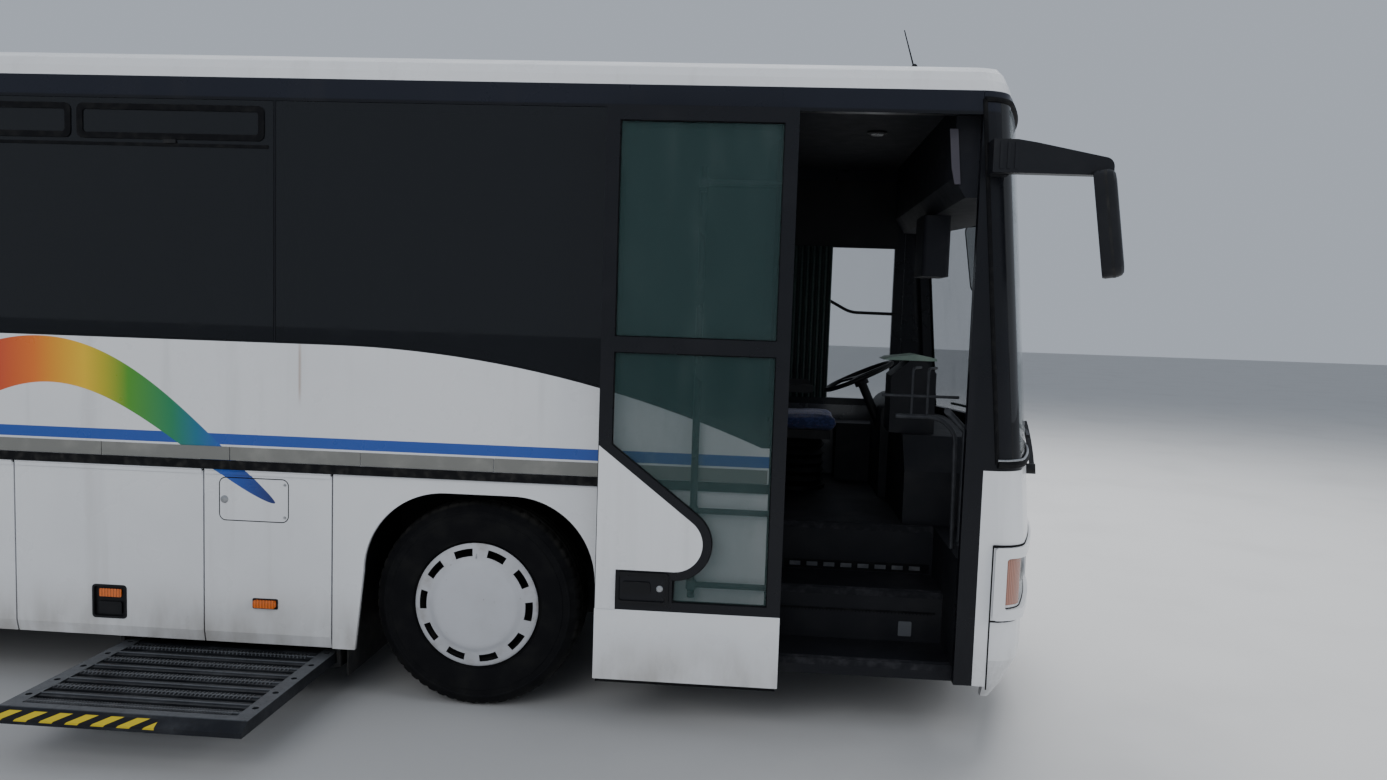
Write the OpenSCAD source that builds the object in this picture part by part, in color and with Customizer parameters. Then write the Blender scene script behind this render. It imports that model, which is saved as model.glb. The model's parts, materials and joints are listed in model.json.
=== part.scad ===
// Intercity passenger bus with outward-swinging doors, luggage bays and a cassette lift.
// In every module X runs forward from the front axle, Y to the left and Z up from the ground.

/* [Body] */
// Width over the side panels
body_w = 2550; // [2480:10:2600]
// Front axle to the foremost point of the bumper
front_overhang = 2790; // [2760:10:2850]
// Rear axle to the back of the body
rear_overhang = 3270; // [3150:10:3400]
// Distance between the axles
wheelbase = 6080; // [6040:10:6300]
// Height where the side ends and the roof starts
cornice_z = 3000; // [2980:10:3040]
// Height of the roof's crown above the cornice
roof_rise = 290; // [260:5:340]
// Lower edge of the side glass behind the front axle
belt_z = 1757; // [1720:1:1790]
// Radius of the belt line's sweep down to the front door
belt_sweep = 5400; // [5000:50:6000]
// Lower edge of the side panels
skirt_z = 277; // [260:1:300]
// Backward lean of the front above the bumper, in degrees
front_lean = 5; // [4:0.5:6]
// Radius of the front face in plan
nose_r = 3600; // [3300:50:4200]
// Radius of the front corners in plan
nose_corner = 150; // [120:5:180]
// Radius of the rear face in plan
tail_r = 9000; // [8000:500:12000]
// Radius of the rear corners in plan
tail_corner = 220; // [180:5:260]
// Thickness of the side walls
wall_t = 50; // [45:1:60]
// Thickness of the glass
glass_t = 8; // [6:1:10]

/* [Cabin] */
// Height of the aisle floor
floor_z = 860; // [850:5:880]
// Height of the seat podiums above the aisle floor
podium_h = 220; // [215:5:240]
// Clear width of the aisle
aisle_w = 600; // [520:10:700]
// Distance between the rows of seats
seat_pitch = 780; // [740:10:840]

/* [Front door] */
// Rear edge of the doorway
door_rear = 1395; // [1385:1:1405]
// Length of the doorway
door_len = 895; // [885:1:900]
// Lower edge of the leaf
leaf_low = 252; // [240:1:270]
// Upper edge of the leaf
leaf_high = 2885; // [2860:1:2890]
// Thickness of the leaf
leaf_t = 45; // [40:1:48]
// How far the open leaf stands outside the wall
leaf_out = 120; // [115:1:130]
// How far the leaf travels backward
leaf_travel = 810; // [800:1:830]
// Radius of the white apron's nose in the lower pane
apron_r = 130; // [110:5:140]
// Black border round the apron
apron_border = 40; // [30:1:50]

/* [Luggage flaps] */
// Upper edge of the flaps
flap_top = 1124; // [1110:1:1126]
// Thickness of the flaps
flap_t = 30; // [25:1:34]
// Gap between neighbouring flaps
flap_gap = 8; // [7:1:12]

/* [Wheels] */
// Radius of the loaded tyre
tyre_r = 512; // [500:1:522]
// Width of a tyre
tyre_w = 298; // [280:1:305]
// Radius of the rim's seat
rim_r = 286; // [280:1:290]
// Distance between the centres of the front tyres
front_track = 2120; // [2080:10:2140]
// Distance between the middles of the rear twins
rear_track = 1834; // [1810:2:1850]
// Distance between the tyres of a twin
twin_pitch = 330; // [320:1:340]
// Distance from the kingpin out to the tyre's middle
kingpin_in = 55; // [50:1:60]

/* [Lift] */
// Rear edge of the lift platform
lift_rear = -1780; // [-1820:5:-1760]
// Length of the platform along the bus
lift_len = 1080; // [1060:5:1100]
// How far the platform stands out from the side
lift_out = 850; // [800:5:860]
// Height of the platform's top
lift_z = 240; // [225:1:250]
// Width of a platform plank
plank_w = 62; // [50:1:70]
// Gap between neighbouring planks
plank_gap = 19; // [12:1:24]

/* [Hidden] */
$fn = 48;
arc_fn = 240;
far = 20000;
eps = 1;
seat_gap = 0.3;

half_w = body_w / 2;
tail_x = -(wheelbase + rear_overhang);
rear_x = -wheelbase;
lean_z = 950;
roof_top = cornice_z + roof_rise;
inside_y = half_w - wall_t;

// Colours as they look in daylight
white_paint = [0.9, 0.9, 0.9];
dark_paint = [0.1, 0.1, 0.12];
glass_tint = [0.25, 0.3, 0.32, 0.5];
steel_grey = [0.35, 0.36, 0.38];
rubber_black = [0.07, 0.07, 0.07];
seat_blue = [0.2, 0.25, 0.4];

// Side layout
side_rear = tail_x + tail_corner + 20;
door_front = door_rear + door_len;
mid_door_rear = rear_x + 735;
mid_door_front = mid_door_rear + door_len;
rail_low = 1138;
rail_high = 1180;
rail_out = 12;
panel_low = 1142;
panel_gap = seat_gap;
sweep_start = -700;
driver_belt = 1350;
glass_top = 2900;
door_head = 2895;
bay_front = -696;
bay_rear = mid_door_front + 70;
bay_floor = 285;
plate_t = 25;

// Panes: rear edge and front edge. The first one of each side has the swept belt.
pane_gap = 12;
right_panes = [
    [-985, door_rear - 10],
    [-2965, -985],
    [mid_door_front + 10, -2965],
    [-7250, mid_door_rear - 10],
    [side_rear + 40, -7250]];
left_panes = [
    [-985, door_rear - 10],
    [-2965, -985],
    [-4945, -2965],
    [-6925, -4945],
    [side_rear + 40, -6925],
    [door_rear + 40, door_front - 25]];
pane_lip = 45;
hopper_low = 2690;
hopper_frame = 40;
hopper_h = 110;

// Wheel arch: two corner arcs joined by straight lines
arch_r = 400;
arch_z = 669;
arch_spread = 165;
arch_shift = 25;
arch_foot = 635;
house_t = 20;
house_top = floor_z + podium_h - house_t;
house_half = 640;

// Flaps: rear edge and front edge
right_flaps = [[-1340, bay_front], [-2310, -1340], [-3350, -2310], [bay_rear, -3350]];
left_flaps = [[-1340, bay_front], [-2310, -1340], [-3350, -2310], [bay_rear, -3350], [rear_x + 720, bay_rear]];
hinge_bead = 5;
hinge_gap = 0.5;
hinge_out = 3;
flap_hinge_z = rail_low - hinge_gap - hinge_bead;
tuck_h = 55;
tuck_in = 13;

// Steps
tread_1 = 350;
tread_2 = 605;
riser_1 = 380;
riser_2 = 750;

// Front door linkage: the arm turns on a column at the rear jamb and the leaf stays parallel
leaf_gap_rear = 25;
leaf_gap_front = 10;
leaf_len = door_len - leaf_gap_rear - leaf_gap_front;
bar_r = 17;
bar_in = 38;
arm_r = 14;
eye_r = 24;
column_r = 25;
running = 0.1;
arm_reach_y = 260;
arm_reach_x = (pow(leaf_travel, 2) + pow(leaf_out, 2) - 2 * arm_reach_y * leaf_out) / (2 * leaf_travel);
column_x = door_rear + column_r + 6;
column_y = -(half_w + leaf_out - leaf_t - bar_in) + arm_reach_y;
open_bar = [column_x - arm_reach_x, column_y - arm_reach_y];
closed_bar = [open_bar[0] + leaf_travel, open_bar[1] + leaf_out];
swing = atan2(closed_bar[1] - column_y, closed_bar[0] - column_x)
      - atan2(open_bar[1] - column_y, open_bar[0] - column_x);
arm_heights = [700, 1050, 2560];
column_low = tread_1 + seat_gap;
column_high = 2880;
closed_rear = door_rear + leaf_gap_rear;

// Chassis rails and the tow eye ahead of the left one
frame_rail_y = 330;
frame_rail_w = 100;
frame_rail_z = [640, 780];
rail_front = 2440;
bulkhead_mid = -2310;
jack_pad_h = 20;
tow_at = [2530, 520, 380];
tow_bore_r = 25;
tow_half = 40;

// Wheels
front_tyre_y = front_track / 2;
kingpin_y = front_tyre_y - kingpin_in;
rear_mid_y = rear_track / 2;
kingpin_r = 22;
spindle_r = 40;
rear_spindle_r = 50;
boss_half = 60;

// Inner faces of the wheel housings: room for the steered wheel, and clear of the twins
steer_room = 445;
tyre_clear = 43;
house_front = kingpin_y - steer_room;
house_rear = rear_mid_y - twin_pitch / 2 - tyre_w / 2 - tyre_clear;
function house_x(x) = [x + arch_shift - house_half - house_t, x + arch_shift + house_half + house_t];
well_in = -half_w + riser_2 + plate_t;
front_well = [door_rear - 20, door_front + 5];
mid_well = [mid_door_rear - 20, mid_door_front + 5];

// Mirrors
mirror_y = half_w + 100;
mirror_half = 110;
head_x = 2800;
head_z = 2640;
head_tilt = 8;
head_h = 470;
head_d = [-30, 70];
head_r = 42;
mirror_front = head_x + (head_d[1] - head_r) * cos(head_tilt) + (head_h - head_r) * sin(head_tilt) + head_r;
rear_bumper_out = 20;

// The origin lies on the ground below the middle of everything
shift = [-(mirror_front + tail_x - rear_bumper_out) / 2, (half_w + lift_out - mirror_y - mirror_half) / 2, 0];

module place() { translate(shift) children(); }
module left_right() { children(); mirror([0, 1, 0]) children(); }
module on_side(s) { if (s < 0) mirror([0, 1, 0]) children(); else children(); }
module block(x, y, z) { translate([x[0], y[0], z[0]]) cube([x[1] - x[0], y[1] - y[0], z[1] - z[0]]); }

// A round bar between two points
module bar(a, b, r) {
    d = b - a;
    flat = norm([d[0], d[1]]);
    translate(a) rotate([0, atan2(flat, d[2]), atan2(d[1], d[0])]) cylinder(r = r, h = norm(d));
}
module bent_bar(points, r) {
    for (i = [0 : len(points) - 2]) bar(points[i], points[i + 1], r);
    for (i = [1 : len(points) - 2]) translate(points[i]) sphere(r = r);
}

// Flat outline in X and Z, made into a plate of the right-hand side
module right_plate(depth, t) {
    translate([0, -half_w + depth + t, 0]) rotate([90, 0, 0]) linear_extrude(t) children();
}
module span(x, z) { translate([x[0], z[0]]) square([x[1] - x[0], z[1] - z[0]]); }
function about(mid, half) = [mid - half, mid + half];
module rounded(x, z, r) {
    span(x + [r, -r], z);
    span(x, z + [r, -r]);
    for (u = x + [r, -r]) for (v = z + [r, -r]) translate([u, v]) circle(r);
}

// Profile in Y and Z, drawn out along X
module along_x(x) { translate([x[0], 0, 0]) rotate([90, 0, 90]) linear_extrude(x[1] - x[0]) children(); }

// Profile in radius and Y, turned about a wheel's axis
module turned(x, z) { translate([x, 0, z]) rotate([-90, 0, 0]) rotate_extrude($fn = 96) children(); }

// One end of the body in plan: a wide arc with tangent corner arcs
module end_cap(reach, big, corner, inset, big_fn) {
    rb = big - inset;
    rc = max(corner - inset, 10);
    cy = half_w - inset - rc;
    cx = reach - big + sqrt(pow(rb - rc, 2) - pow(cy, 2));
    yt = cy + rc * cy / (rb - rc);
    intersection() {
        translate([reach - big, 0]) circle(rb, $fn = big_fn);
        translate([0, -yt]) square([far, 2 * yt]);
    }
    for (s = [-1, 1]) translate([cx, s * cy]) circle(rc, $fn = 2 * $fn);
    translate([0, -half_w + inset]) square([cx, 2 * (half_w - inset)]);
}
module plan(nose, inset = 0, nose_fn = arc_fn, tail_fn = 3 * arc_fn) {
    end_cap(nose, nose_r, nose_corner, inset, nose_fn);
    mirror([1, 0]) end_cap(-tail_x, tail_r, tail_corner, inset, tail_fn);
}

// Solid front of the body above the bumper, leaning back
module leaning(inset, z, from = door_front) {
    intersection() {
        translate([0, 0, lean_z]) rotate([0, -front_lean, 0]) translate([0, 0, -1500])
            linear_extrude(5000) plan(front_overhang, inset);
        block([from, far], [-far, far], z);
    }
}
module front_shell(t, z) { difference() { leaning(0, z); leaning(t, [z[0] - eps, z[1] + eps]); } }
nose_at_cornice = front_overhang - tan(front_lean) * (cornice_z - lean_z);

// Side outlines
module below_belt(grow = 0) {
    span([-far, sweep_start], [0, belt_z + grow]);
    translate([sweep_start, belt_z - belt_sweep]) circle(belt_sweep + grow, $fn = arc_fn * 2);
    span([sweep_start, far], [0, driver_belt + grow]);
}
module arch(x) {
    translate([x + arch_shift, 0]) {
        for (s = [-1, 1]) translate([s * arch_spread, arch_z]) circle(arch_r, $fn = 96);
        span([-arch_spread, arch_spread], [arch_z, arch_z + arch_r]);
        polygon([[-arch_foot, 0], [arch_foot, 0], [arch_spread + arch_r, arch_z], [-arch_spread - arch_r, arch_z]]);
    }
}

module underframe() color(steel_grey) {
    block([bay_rear, bay_front], [-inside_y, inside_y], [bay_floor, bay_floor + plate_t]);
    for (x = [bay_front - plate_t, bulkhead_mid - plate_t / 2, bay_rear])
        block([x, x + plate_t], [-inside_y, inside_y], [bay_floor + plate_t + seat_gap, floor_z - plate_t]);
    for (s = [-1, 1]) for (x = [-2200, bay_rear + 60])
        translate([x, s * 900, bay_floor - jack_pad_h]) cylinder(r = 45, h = jack_pad_h - seat_gap);
    left_right() for (x = [[bay_front + seat_gap, rail_front], [tail_x + 150, bay_rear - seat_gap]])
        block(x, [frame_rail_y, frame_rail_y + frame_rail_w], frame_rail_z);
    for (x = [700, 1300, rail_front - 90, rear_x + 760, rear_x - 700, tail_x + 150])
        block([x, x + 80], [seat_gap - frame_rail_y, frame_rail_y - seat_gap], frame_rail_z);
    left_right() block([bay_rear, bay_front], [inside_y - 30, inside_y], [floor_z + podium_h, panel_low]);
    hanger = [rail_front + seat_gap, tow_at[0] - tow_half - 10];
    block(hanger, [frame_rail_y + 70, tow_at[1] + tow_half], [tow_at[2] - 50, frame_rail_z[1]]);
    difference() {
        block([hanger[1] + seat_gap, tow_at[0] + tow_half + 5], [tow_at[1] - tow_half, tow_at[1] + tow_half],
            [tow_at[2] - tow_half / 2, tow_at[2] + tow_half / 2]);
        translate(tow_at - [0, 0, 100]) cylinder(r = tow_bore_r, h = 200);
    }
}

// Deck of boards laid side by side, cut back at the wheels and the steps
podium_in = aisle_w / 2;
module deck_board(x, y) {
    translate([0, 0, floor_z - plate_t]) linear_extrude(plate_t) intersection() {
        plan(2560, wall_t);
        translate([x[0] + seat_gap / 2, y[0]]) square([x[1] - x[0] - seat_gap, y[1] - y[0]]);
    }
}
module podium(x, y) { block(x + [seat_gap, -seat_gap] / 2, y, [floor_z + seat_gap, floor_z + podium_h]); }
module floor_deck() color([0.3, 0.3, 0.32]) {
    f = house_x(0);
    r = house_x(rear_x);
    full = [-far, far];
    for (x = [[-far, r[0]], [r[1], mid_well[0]], [mid_well[1], f[0]], [f[1], front_well[0]], [front_well[1], far]])
        deck_board(x, full);
    deck_board(r, [house_t - house_rear, house_rear - house_t]);
    deck_board(f, [house_t - house_front, house_front - house_t]);
    for (x = [mid_well, front_well]) deck_board(x, [well_in, far]);
    left_right() {
        podium([tail_x + 260, r[0]], [podium_in, inside_y]);
        podium(r, [podium_in, house_rear - house_t]);
        podium(f, [podium_in, house_front - house_t]);
    }
    podium([r[1], f[0]], [podium_in, inside_y]);
    podium([f[1], 1000], [podium_in, inside_y]);
    podium([mid_well[1], f[0]], [-inside_y, -podium_in]);
    podium([f[1], 1360], [-inside_y, -podium_in]);
}

// Wheel housings: plates round each pair of wheels, with a slot for the axle
axle_slot = 180;
mud_t = 8;
mud_in = 40;
mud_z = [120, 420];
module wheel_housings() color(dark_paint) {
    left_right() for (w = [[0, house_front], [rear_x, house_rear]]) {
        x = house_x(w[0]);
        wall_y = [w[1] - house_t, w[1]];
        z = [skirt_z + 30, house_top - seat_gap];
        for (part = [[x[0], w[0] - axle_slot], [w[0] + axle_slot, x[1]]]) block(part, wall_y, z);
        block([w[0] - axle_slot + seat_gap, w[0] + axle_slot - seat_gap], wall_y, [800, z[1]]);
        for (end = [[x[0], x[0] + house_t], [x[1] - house_t, x[1]]])
            block(end, [w[1] + seat_gap, inside_y], z);
        block(x, [w[1] - house_t, inside_y], [house_top, house_top + house_t]);
        block([x[0] - mud_t, x[0]] - [seat_gap, seat_gap], [w[1] + mud_in, inside_y - 10], mud_z);
    }
}

module stepwell(x) {
    along_x(x) polygon([
        [-inside_y, tread_1], [-half_w + riser_1, tread_1], [-half_w + riser_1, tread_2],
        [-half_w + riser_2, tread_2], [-half_w + riser_2, floor_z],
        [-half_w + riser_2 + plate_t, floor_z], [-half_w + riser_2 + plate_t, tread_2 - plate_t],
        [-half_w + riser_1 + plate_t, tread_2 - plate_t], [-half_w + riser_1 + plate_t, tread_1 - plate_t],
        [-inside_y + plate_t, tread_1 - plate_t], [-inside_y + plate_t, skirt_z], [-inside_y, skirt_z]]);
    for (wall = [[x[0] - 20, x[0]], [x[1], x[1] + 5]])
        block(wall, [-inside_y, -half_w + riser_2 + plate_t], [skirt_z, floor_z]);
}
module entry_steps() color([0.2, 0.2, 0.22]) {
    stepwell([door_rear, door_front]);
    stepwell([mid_door_rear, mid_door_front]);
}

module lower_panels() color(white_paint) {
    z = [skirt_z, panel_low - seat_gap];
    mirror([0, 1, 0]) side_skirt([[bay_front, door_front - 2], [side_rear, left_flaps[4][0]]], z);
    side_skirt([[bay_front, door_rear], [side_rear, mid_door_rear], [mid_door_front, bay_rear - flap_gap]], z);
}
module side_skirt(spans, z) {
    right_plate(0, flap_t) difference() {
        for (x = spans) span([x[0] + flap_gap / 2, x[1]], z);
        arch(0);
        arch(rear_x);
    }
}

module belt_panels() color(white_paint) {
    right_plate(0, wall_t) difference() {
        intersection() {
            span([side_rear, door_rear], [panel_low, far]);
            below_belt();
        }
        span([mid_door_rear, mid_door_front], [0, far]);
    }
    mirror([0, 1, 0]) right_plate(0, wall_t) intersection() {
        span([side_rear, door_front - 2], [panel_low, far]);
        below_belt();
    }
}

// Dark frame of the side glazing; the panes lie on its outer face
module pane_shape(p, inset) {
    difference() {
        span([p[0] + inset, p[1] - inset], [driver_belt - 300 + inset, glass_top - inset]);
        below_belt(inset + 3);
    }
}
module side_frame(panes, parts, heads) {
    right_plate(glass_t, wall_t - glass_t) difference() {
        for (x = parts) span(x, [driver_belt, cornice_z]);
        below_belt(panel_gap);
        for (p = panes) pane_shape(p, pane_lip);
    }
    right_plate(0, glass_t) difference() {
        union() {
            for (x = parts) span(x, [glass_top + 2, cornice_z]);
            for (p = panes) span([p[0] - pane_gap / 2, p[1] + pane_gap / 2], [belt_z - 500, glass_top + 2]);
        }
        below_belt(panel_gap);
        for (p = panes) pane_shape(p, pane_gap / 2 - 2);
    }
    right_plate(0, wall_t) for (x = heads) span(x, [door_head, cornice_z]);
}
module hopper_bars(panes) {
    for (p = panes) {
        mid = (p[0] + p[1]) / 2;
        right_plate(glass_t, 20) difference() {
            span([p[0] + pane_lip, p[1] - pane_lip], [hopper_low, glass_top - pane_lip]);
            for (half = [[p[0] + pane_lip, mid], [mid, p[1] - pane_lip]])
                span([half[0] + hopper_frame, half[1] - hopper_frame],
                    [hopper_low + hopper_frame, hopper_low + hopper_frame + hopper_h]);
        }
    }
}
module frame_right() color(dark_paint) {
    side_frame(right_panes, [[side_rear, mid_door_rear], [mid_door_front, door_rear]],
        [[mid_door_rear + seat_gap, mid_door_front - seat_gap], [door_rear + seat_gap, door_front - 2]]);
    hopper_bars([right_panes[1], right_panes[2], right_panes[3]]);
}
module frame_left() color(dark_paint) mirror([0, 1, 0]) {
    side_frame(left_panes, [[side_rear, door_front - 2]], []);
    hopper_bars([left_panes[1], left_panes[2], left_panes[3]]);
}
rear_glass_z = [1900, 2850];
module windows() color(glass_tint) {
    right_plate(0, glass_t) for (p = right_panes) pane_shape(p, pane_gap / 2);
    mirror([0, 1, 0]) right_plate(0, glass_t) for (p = left_panes) pane_shape(p, pane_gap / 2);
    tail_shell(0, glass_t, [-1000, 1000], rear_glass_z);
}

// Roof: a crowned profile along X, rounded at its edges by slices of the plan.
// Slices: inset from the edge and share of the rise
roof_slices = [[0, 0], [6, 0.155], [25, 0.293], [60, 0.414], [130, 0.534], [260, 0.655], [500, 0.828], [820, 1.034]];
roof_t = 45;
crown_r = 4000;
module roof_solid(inset, drop) {
    intersection() {
        along_x([-far, far]) intersection() {
            translate([0, roof_top - crown_r]) circle(crown_r - drop, $fn = arc_fn);
            translate([-half_w, cornice_z]) square([2 * half_w, far]);
        }
        hull() for (s = roof_slices)
            translate([0, 0, cornice_z + s[1] * roof_rise - (s[1] > 0 ? drop : 0)])
                linear_extrude(eps) plan(nose_at_cornice, s[0] + inset, 120, 120, $fn = 16);
    }
}
hatches = [[-1900, -1150], [-6700, -5950]];
module roof() color(white_paint) {
    difference() {
        roof_solid(0, 0);
        translate([0, 0, -2 * eps]) roof_solid(roof_t, roof_t);
        for (h = hatches) block(h, [-350, 350], [cornice_z + 100, far]);
    }
}
antenna_x = nose_at_cornice - 661;
antenna_foot = cornice_z + 0.956 * roof_rise;
antenna_lean = 70;
antenna_h = 165;
module roof_fittings() color([0.75, 0.75, 0.75]) {
    for (h = hatches) block(h, [-350, 350], [roof_top - 60, roof_top + 35]);
    translate([antenna_x, 0, antenna_foot]) cylinder(r = 28, h = 20);
    bar([antenna_x, 0, antenna_foot + 10], [antenna_x - antenna_lean, 0, antenna_foot + antenna_h], 4);
}

mask_top = 1290;
bumper_rear = 2440;
bumper_z = [190, 940];
seam_z = 584;
seam_w = 7;
module front_mask() color(white_paint) {
    left_right() intersection() {
        leaning(0, [skirt_z, mask_top]);
        block([2375, bumper_rear], [inside_y, far], [skirt_z, mask_top]);
    }
    difference() {
        front_shell(wall_t, [bumper_z[1] + seat_gap, mask_top]);
        block([0, bumper_rear], [-far, far], [0, far]);
    }
}
screen_z = [1330, 2955];
screen_edge = 25;
module windscreen_frame() color(dark_paint) {
    difference() {
        front_shell(wall_t, [skirt_z, cornice_z]);
        block([2375 - seat_gap, far], [-far, far], [0, mask_top + seat_gap]);
        block([0, far], [-half_w + screen_edge + 40, half_w - screen_edge - 40], [screen_z[0] + 45, screen_z[1] - 45]);
        difference() {
            block([0, far], [-half_w + screen_edge - 2, half_w - screen_edge + 2], [screen_z[0] - 2, screen_z[1] + 2]);
            leaning(glass_t, [0, far]);
        }
    }
}
module windscreen() color(glass_tint) {
    intersection() {
        front_shell(glass_t, screen_z);
        block([0, far], [-half_w + screen_edge, half_w - screen_edge], screen_z);
    }
}

lamp_rear = 2490;
lamp_z = [660, 890];
lamp_in = [620, half_w - 45];
module bumper_solid(inset) {
    over = inset > 0 ? eps : 0;
    translate([0, 0, 400 - 4 * over]) linear_extrude(bumper_z[1] - 400 + 5 * over) plan(front_overhang, inset);
    hull() for (s = [[0, 401], [18, 370], [60, 270], [115, bumper_z[0]]])
        translate([0, 0, s[1] - eps - (inset > 0 ? 2 : 0)]) linear_extrude(eps)
            plan(front_overhang, s[0] + inset, 120, 120, $fn = 16);
}
module front_bumper() color(white_paint) {
    difference() {
        intersection() {
            bumper_solid(0);
            block([bumper_rear + seat_gap, far], [-far, far], [0, far]);
        }
        bumper_solid(wall_t);
        left_right() block([lamp_rear, far], lamp_in, lamp_z);
        block([0, far], about(tow_at[1], tow_half), about(tow_at[2], 70));
        difference() {
            block([bumper_rear, far], [-far, far], [seam_z, seam_z + seam_w]);
            linear_extrude(far) plan(front_overhang, seam_w);
        }
    }
}
module front_lamps() color([0.8, 0.8, 0.8]) {
    left_right() difference() {
        intersection() {
            translate([0, 0, lamp_z[0]]) linear_extrude(lamp_z[1] - lamp_z[0]) plan(front_overhang, 8);
            block([lamp_rear, far], lamp_in, lamp_z);
        }
        linear_extrude(far) plan(front_overhang, wall_t);
    }
}

// Wipers: strips that follow the front face, on stub spindles below the screen
wiper_pivots = [-820, 180];
blade_len = 840;
blade_z = 1400;
module front_strip(near, deep) { difference() { leaning(-deep, [0, far]); leaning(-near, [0, far]); } }
module wipers() color(rubber_black) {
    for (y = wiper_pivots) {
        intersection() {
            front_strip(6, 22);
            block([0, far], [y, y + blade_len], [blade_z, blade_z + 14]);
        }
        intersection() {
            front_strip(16, 40);
            translate([0, y, 1240]) rotate([24, 0, 0]) block([0, far], [-20, 470], [-10, 14]);
        }
        intersection() {
            front_strip(seat_gap, 45);
            translate([2400, y, 1245]) rotate([0, 90, 0]) cylinder(r = 26, h = 600);
        }
    }
}

module mirrors() color(rubber_black) {
    left_right() {
        difference() {
            union() {
                translate([0, mirror_y + 25, 0]) rotate([90, 0, 0]) linear_extrude(50)
                    polygon([[2316, 2620], [2316, 2770], [2640, 2768], [2800, 2740], [2835, 2705], [2835, 2650],
                        [2810, 2636], [2420, 2648]]);
                block([2316, 2400], [half_w - 60, mirror_y], [2635, 2755]);
            }
            leaning(0, [2500, 2900]);
        }
        translate([head_x, mirror_y, head_z]) rotate([0, -head_tilt, 0]) intersection() {
            translate([0, mirror_half, 0]) rotate([90, 0, 0]) linear_extrude(2 * mirror_half)
                rounded(head_d, [-head_h, 0], head_r);
            translate([head_d[0], 0, 0]) rotate([90, 0, 90]) linear_extrude(head_d[1] - head_d[0])
                rounded([-mirror_half, mirror_half], [-head_h, 0], head_r);
        }
    }
}

// Rear: a shell of the plan between two depths
module tail_shell(d0, d1, y, z) {
    intersection() {
        translate([0, 0, z[0]]) linear_extrude(z[1] - z[0]) difference() {
            plan(front_overhang, d0);
            plan(front_overhang, d1);
        }
        block([-far, side_rear - eps], y, z);
    }
}
lid_y = [-880, 880];
lid_z = [600, 1330];
lid_gap = 8;
rear_wall_z = [560, cornice_z];
rear_lamp_y = [960, 1160];
rear_lamp_z = [700, 1150];
lid_t = 35;
louvre_h = 38;
louvre_pitch = 82;
lid_hinge = [tail_x - hinge_out, lid_z[1] + 8];
module rear_wall() color(white_paint) {
    difference() {
        tail_shell(0, wall_t, [-far, far], rear_wall_z);
        block([-far, 0], lid_y + [-lid_gap, lid_gap], lid_z + [-lid_gap, lid_gap]);
        block([-far, tail_x + 20], [-501, 501], [lid_z[1], lid_hinge[1] + hinge_bead + hinge_gap]);
        block([-far, 0], [-1000 + pane_lip, 1000 - pane_lip], rear_glass_z + [pane_lip, -pane_lip]);
        tail_shell(-1, glass_t, [-1002, 1002], rear_glass_z + [-2, 2]);
        left_right() block([-far, tail_x + 500], rear_lamp_y, rear_lamp_z);
    }
    block([tail_x - 12, tail_x + 12], [-500, 500],
        [lid_hinge[1] + hinge_bead + hinge_gap, lid_hinge[1] + hinge_bead + hinge_gap + 15]);
}
module engine_lid() color(white_paint) {
    difference() {
        tail_shell(0, lid_t, lid_y, lid_z);
        for (i = [0 : 6]) for (y = [[-700, -20], [20, 700]])
            block([-far, 0], y, about(lid_z[0] + 110 + i * louvre_pitch, louvre_h / 2));
    }
    block([lid_hinge[0] - 2, tail_x + 15], [-500, 500], [lid_z[1] - 20, lid_hinge[1]]);
    translate([lid_hinge[0], 500, lid_hinge[1]]) rotate([90, 0, 0]) cylinder(r = hinge_bead, h = 1000);
}
module rear_bumper() color(white_paint) {
    tail_shell(-rear_bumper_out, wall_t, [-far, far], [300, rear_wall_z[0] - seat_gap]);
}
module rear_lamps() color([0.7, 0.1, 0.1]) {
    left_right() tail_shell(-4, wall_t - 10, rear_lamp_y + [seat_gap, -seat_gap], rear_lamp_z + [seat_gap, -seat_gap]);
}
module engine_block() color(steel_grey) {
    block([tail_x + 350, rear_x - 1150], [-frame_rail_y + seat_gap, frame_rail_y - seat_gap], [380, floor_z - plate_t - 20]);
}

module rub_rails() color([0.2, 0.2, 0.2]) {
    right_plate(-rail_out, rail_out) {
        span([side_rear, mid_door_rear], [rail_low, rail_high]);
        span([mid_door_front, door_rear], [rail_low, rail_high]);
    }
    mirror([0, 1, 0]) right_plate(-rail_out, rail_out) span([side_rear, door_front - 2], [rail_low, rail_high]);
}

// Side flap of the right-hand side with its hinge bead, and a recess for its handle or for the filler hatch
handle_w = 166;
handle_z = [374, 530];
handle_deep = 14;
hatch_in = [77, 216];
hatch_z = [885, 1100];
hatch_groove = 5;
module flap(x, filler = false) {
    mid = (x[0] + x[1]) / 2;
    hatch_x = [x[0] + hatch_in[0], x[1] - hatch_in[1]];
    color(white_paint) {
        difference() {
            along_x([x[0] + flap_gap / 2, x[1] - flap_gap / 2]) polygon([
                [-half_w, flap_top], [-half_w, skirt_z + tuck_h], [-half_w + tuck_in, skirt_z],
                [-half_w + tuck_in + flap_t, skirt_z], [-half_w + flap_t, skirt_z + tuck_h],
                [-half_w + flap_t, flap_top]]);
            if (filler) right_plate(-eps, eps + hatch_groove) difference() {
                rounded(hatch_x, hatch_z, 35);
                rounded(hatch_x + [1, -1] * hatch_groove, hatch_z + [1, -1] * hatch_groove, 35 - hatch_groove);
            }
            else right_plate(-eps, eps + handle_deep) rounded(about(mid, handle_w / 2), handle_z, 14);
        }
        block([x[0] + flap_gap, x[1] - flap_gap], [-half_w - hinge_out - 2, -half_w + 4], [flap_top - 12, flap_hinge_z]);
        translate([x[0] + flap_gap, -half_w - hinge_out, flap_hinge_z]) rotate([0, 90, 0])
            cylinder(r = hinge_bead, h = x[1] - x[0] - 2 * flap_gap);
    }
}

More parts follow.
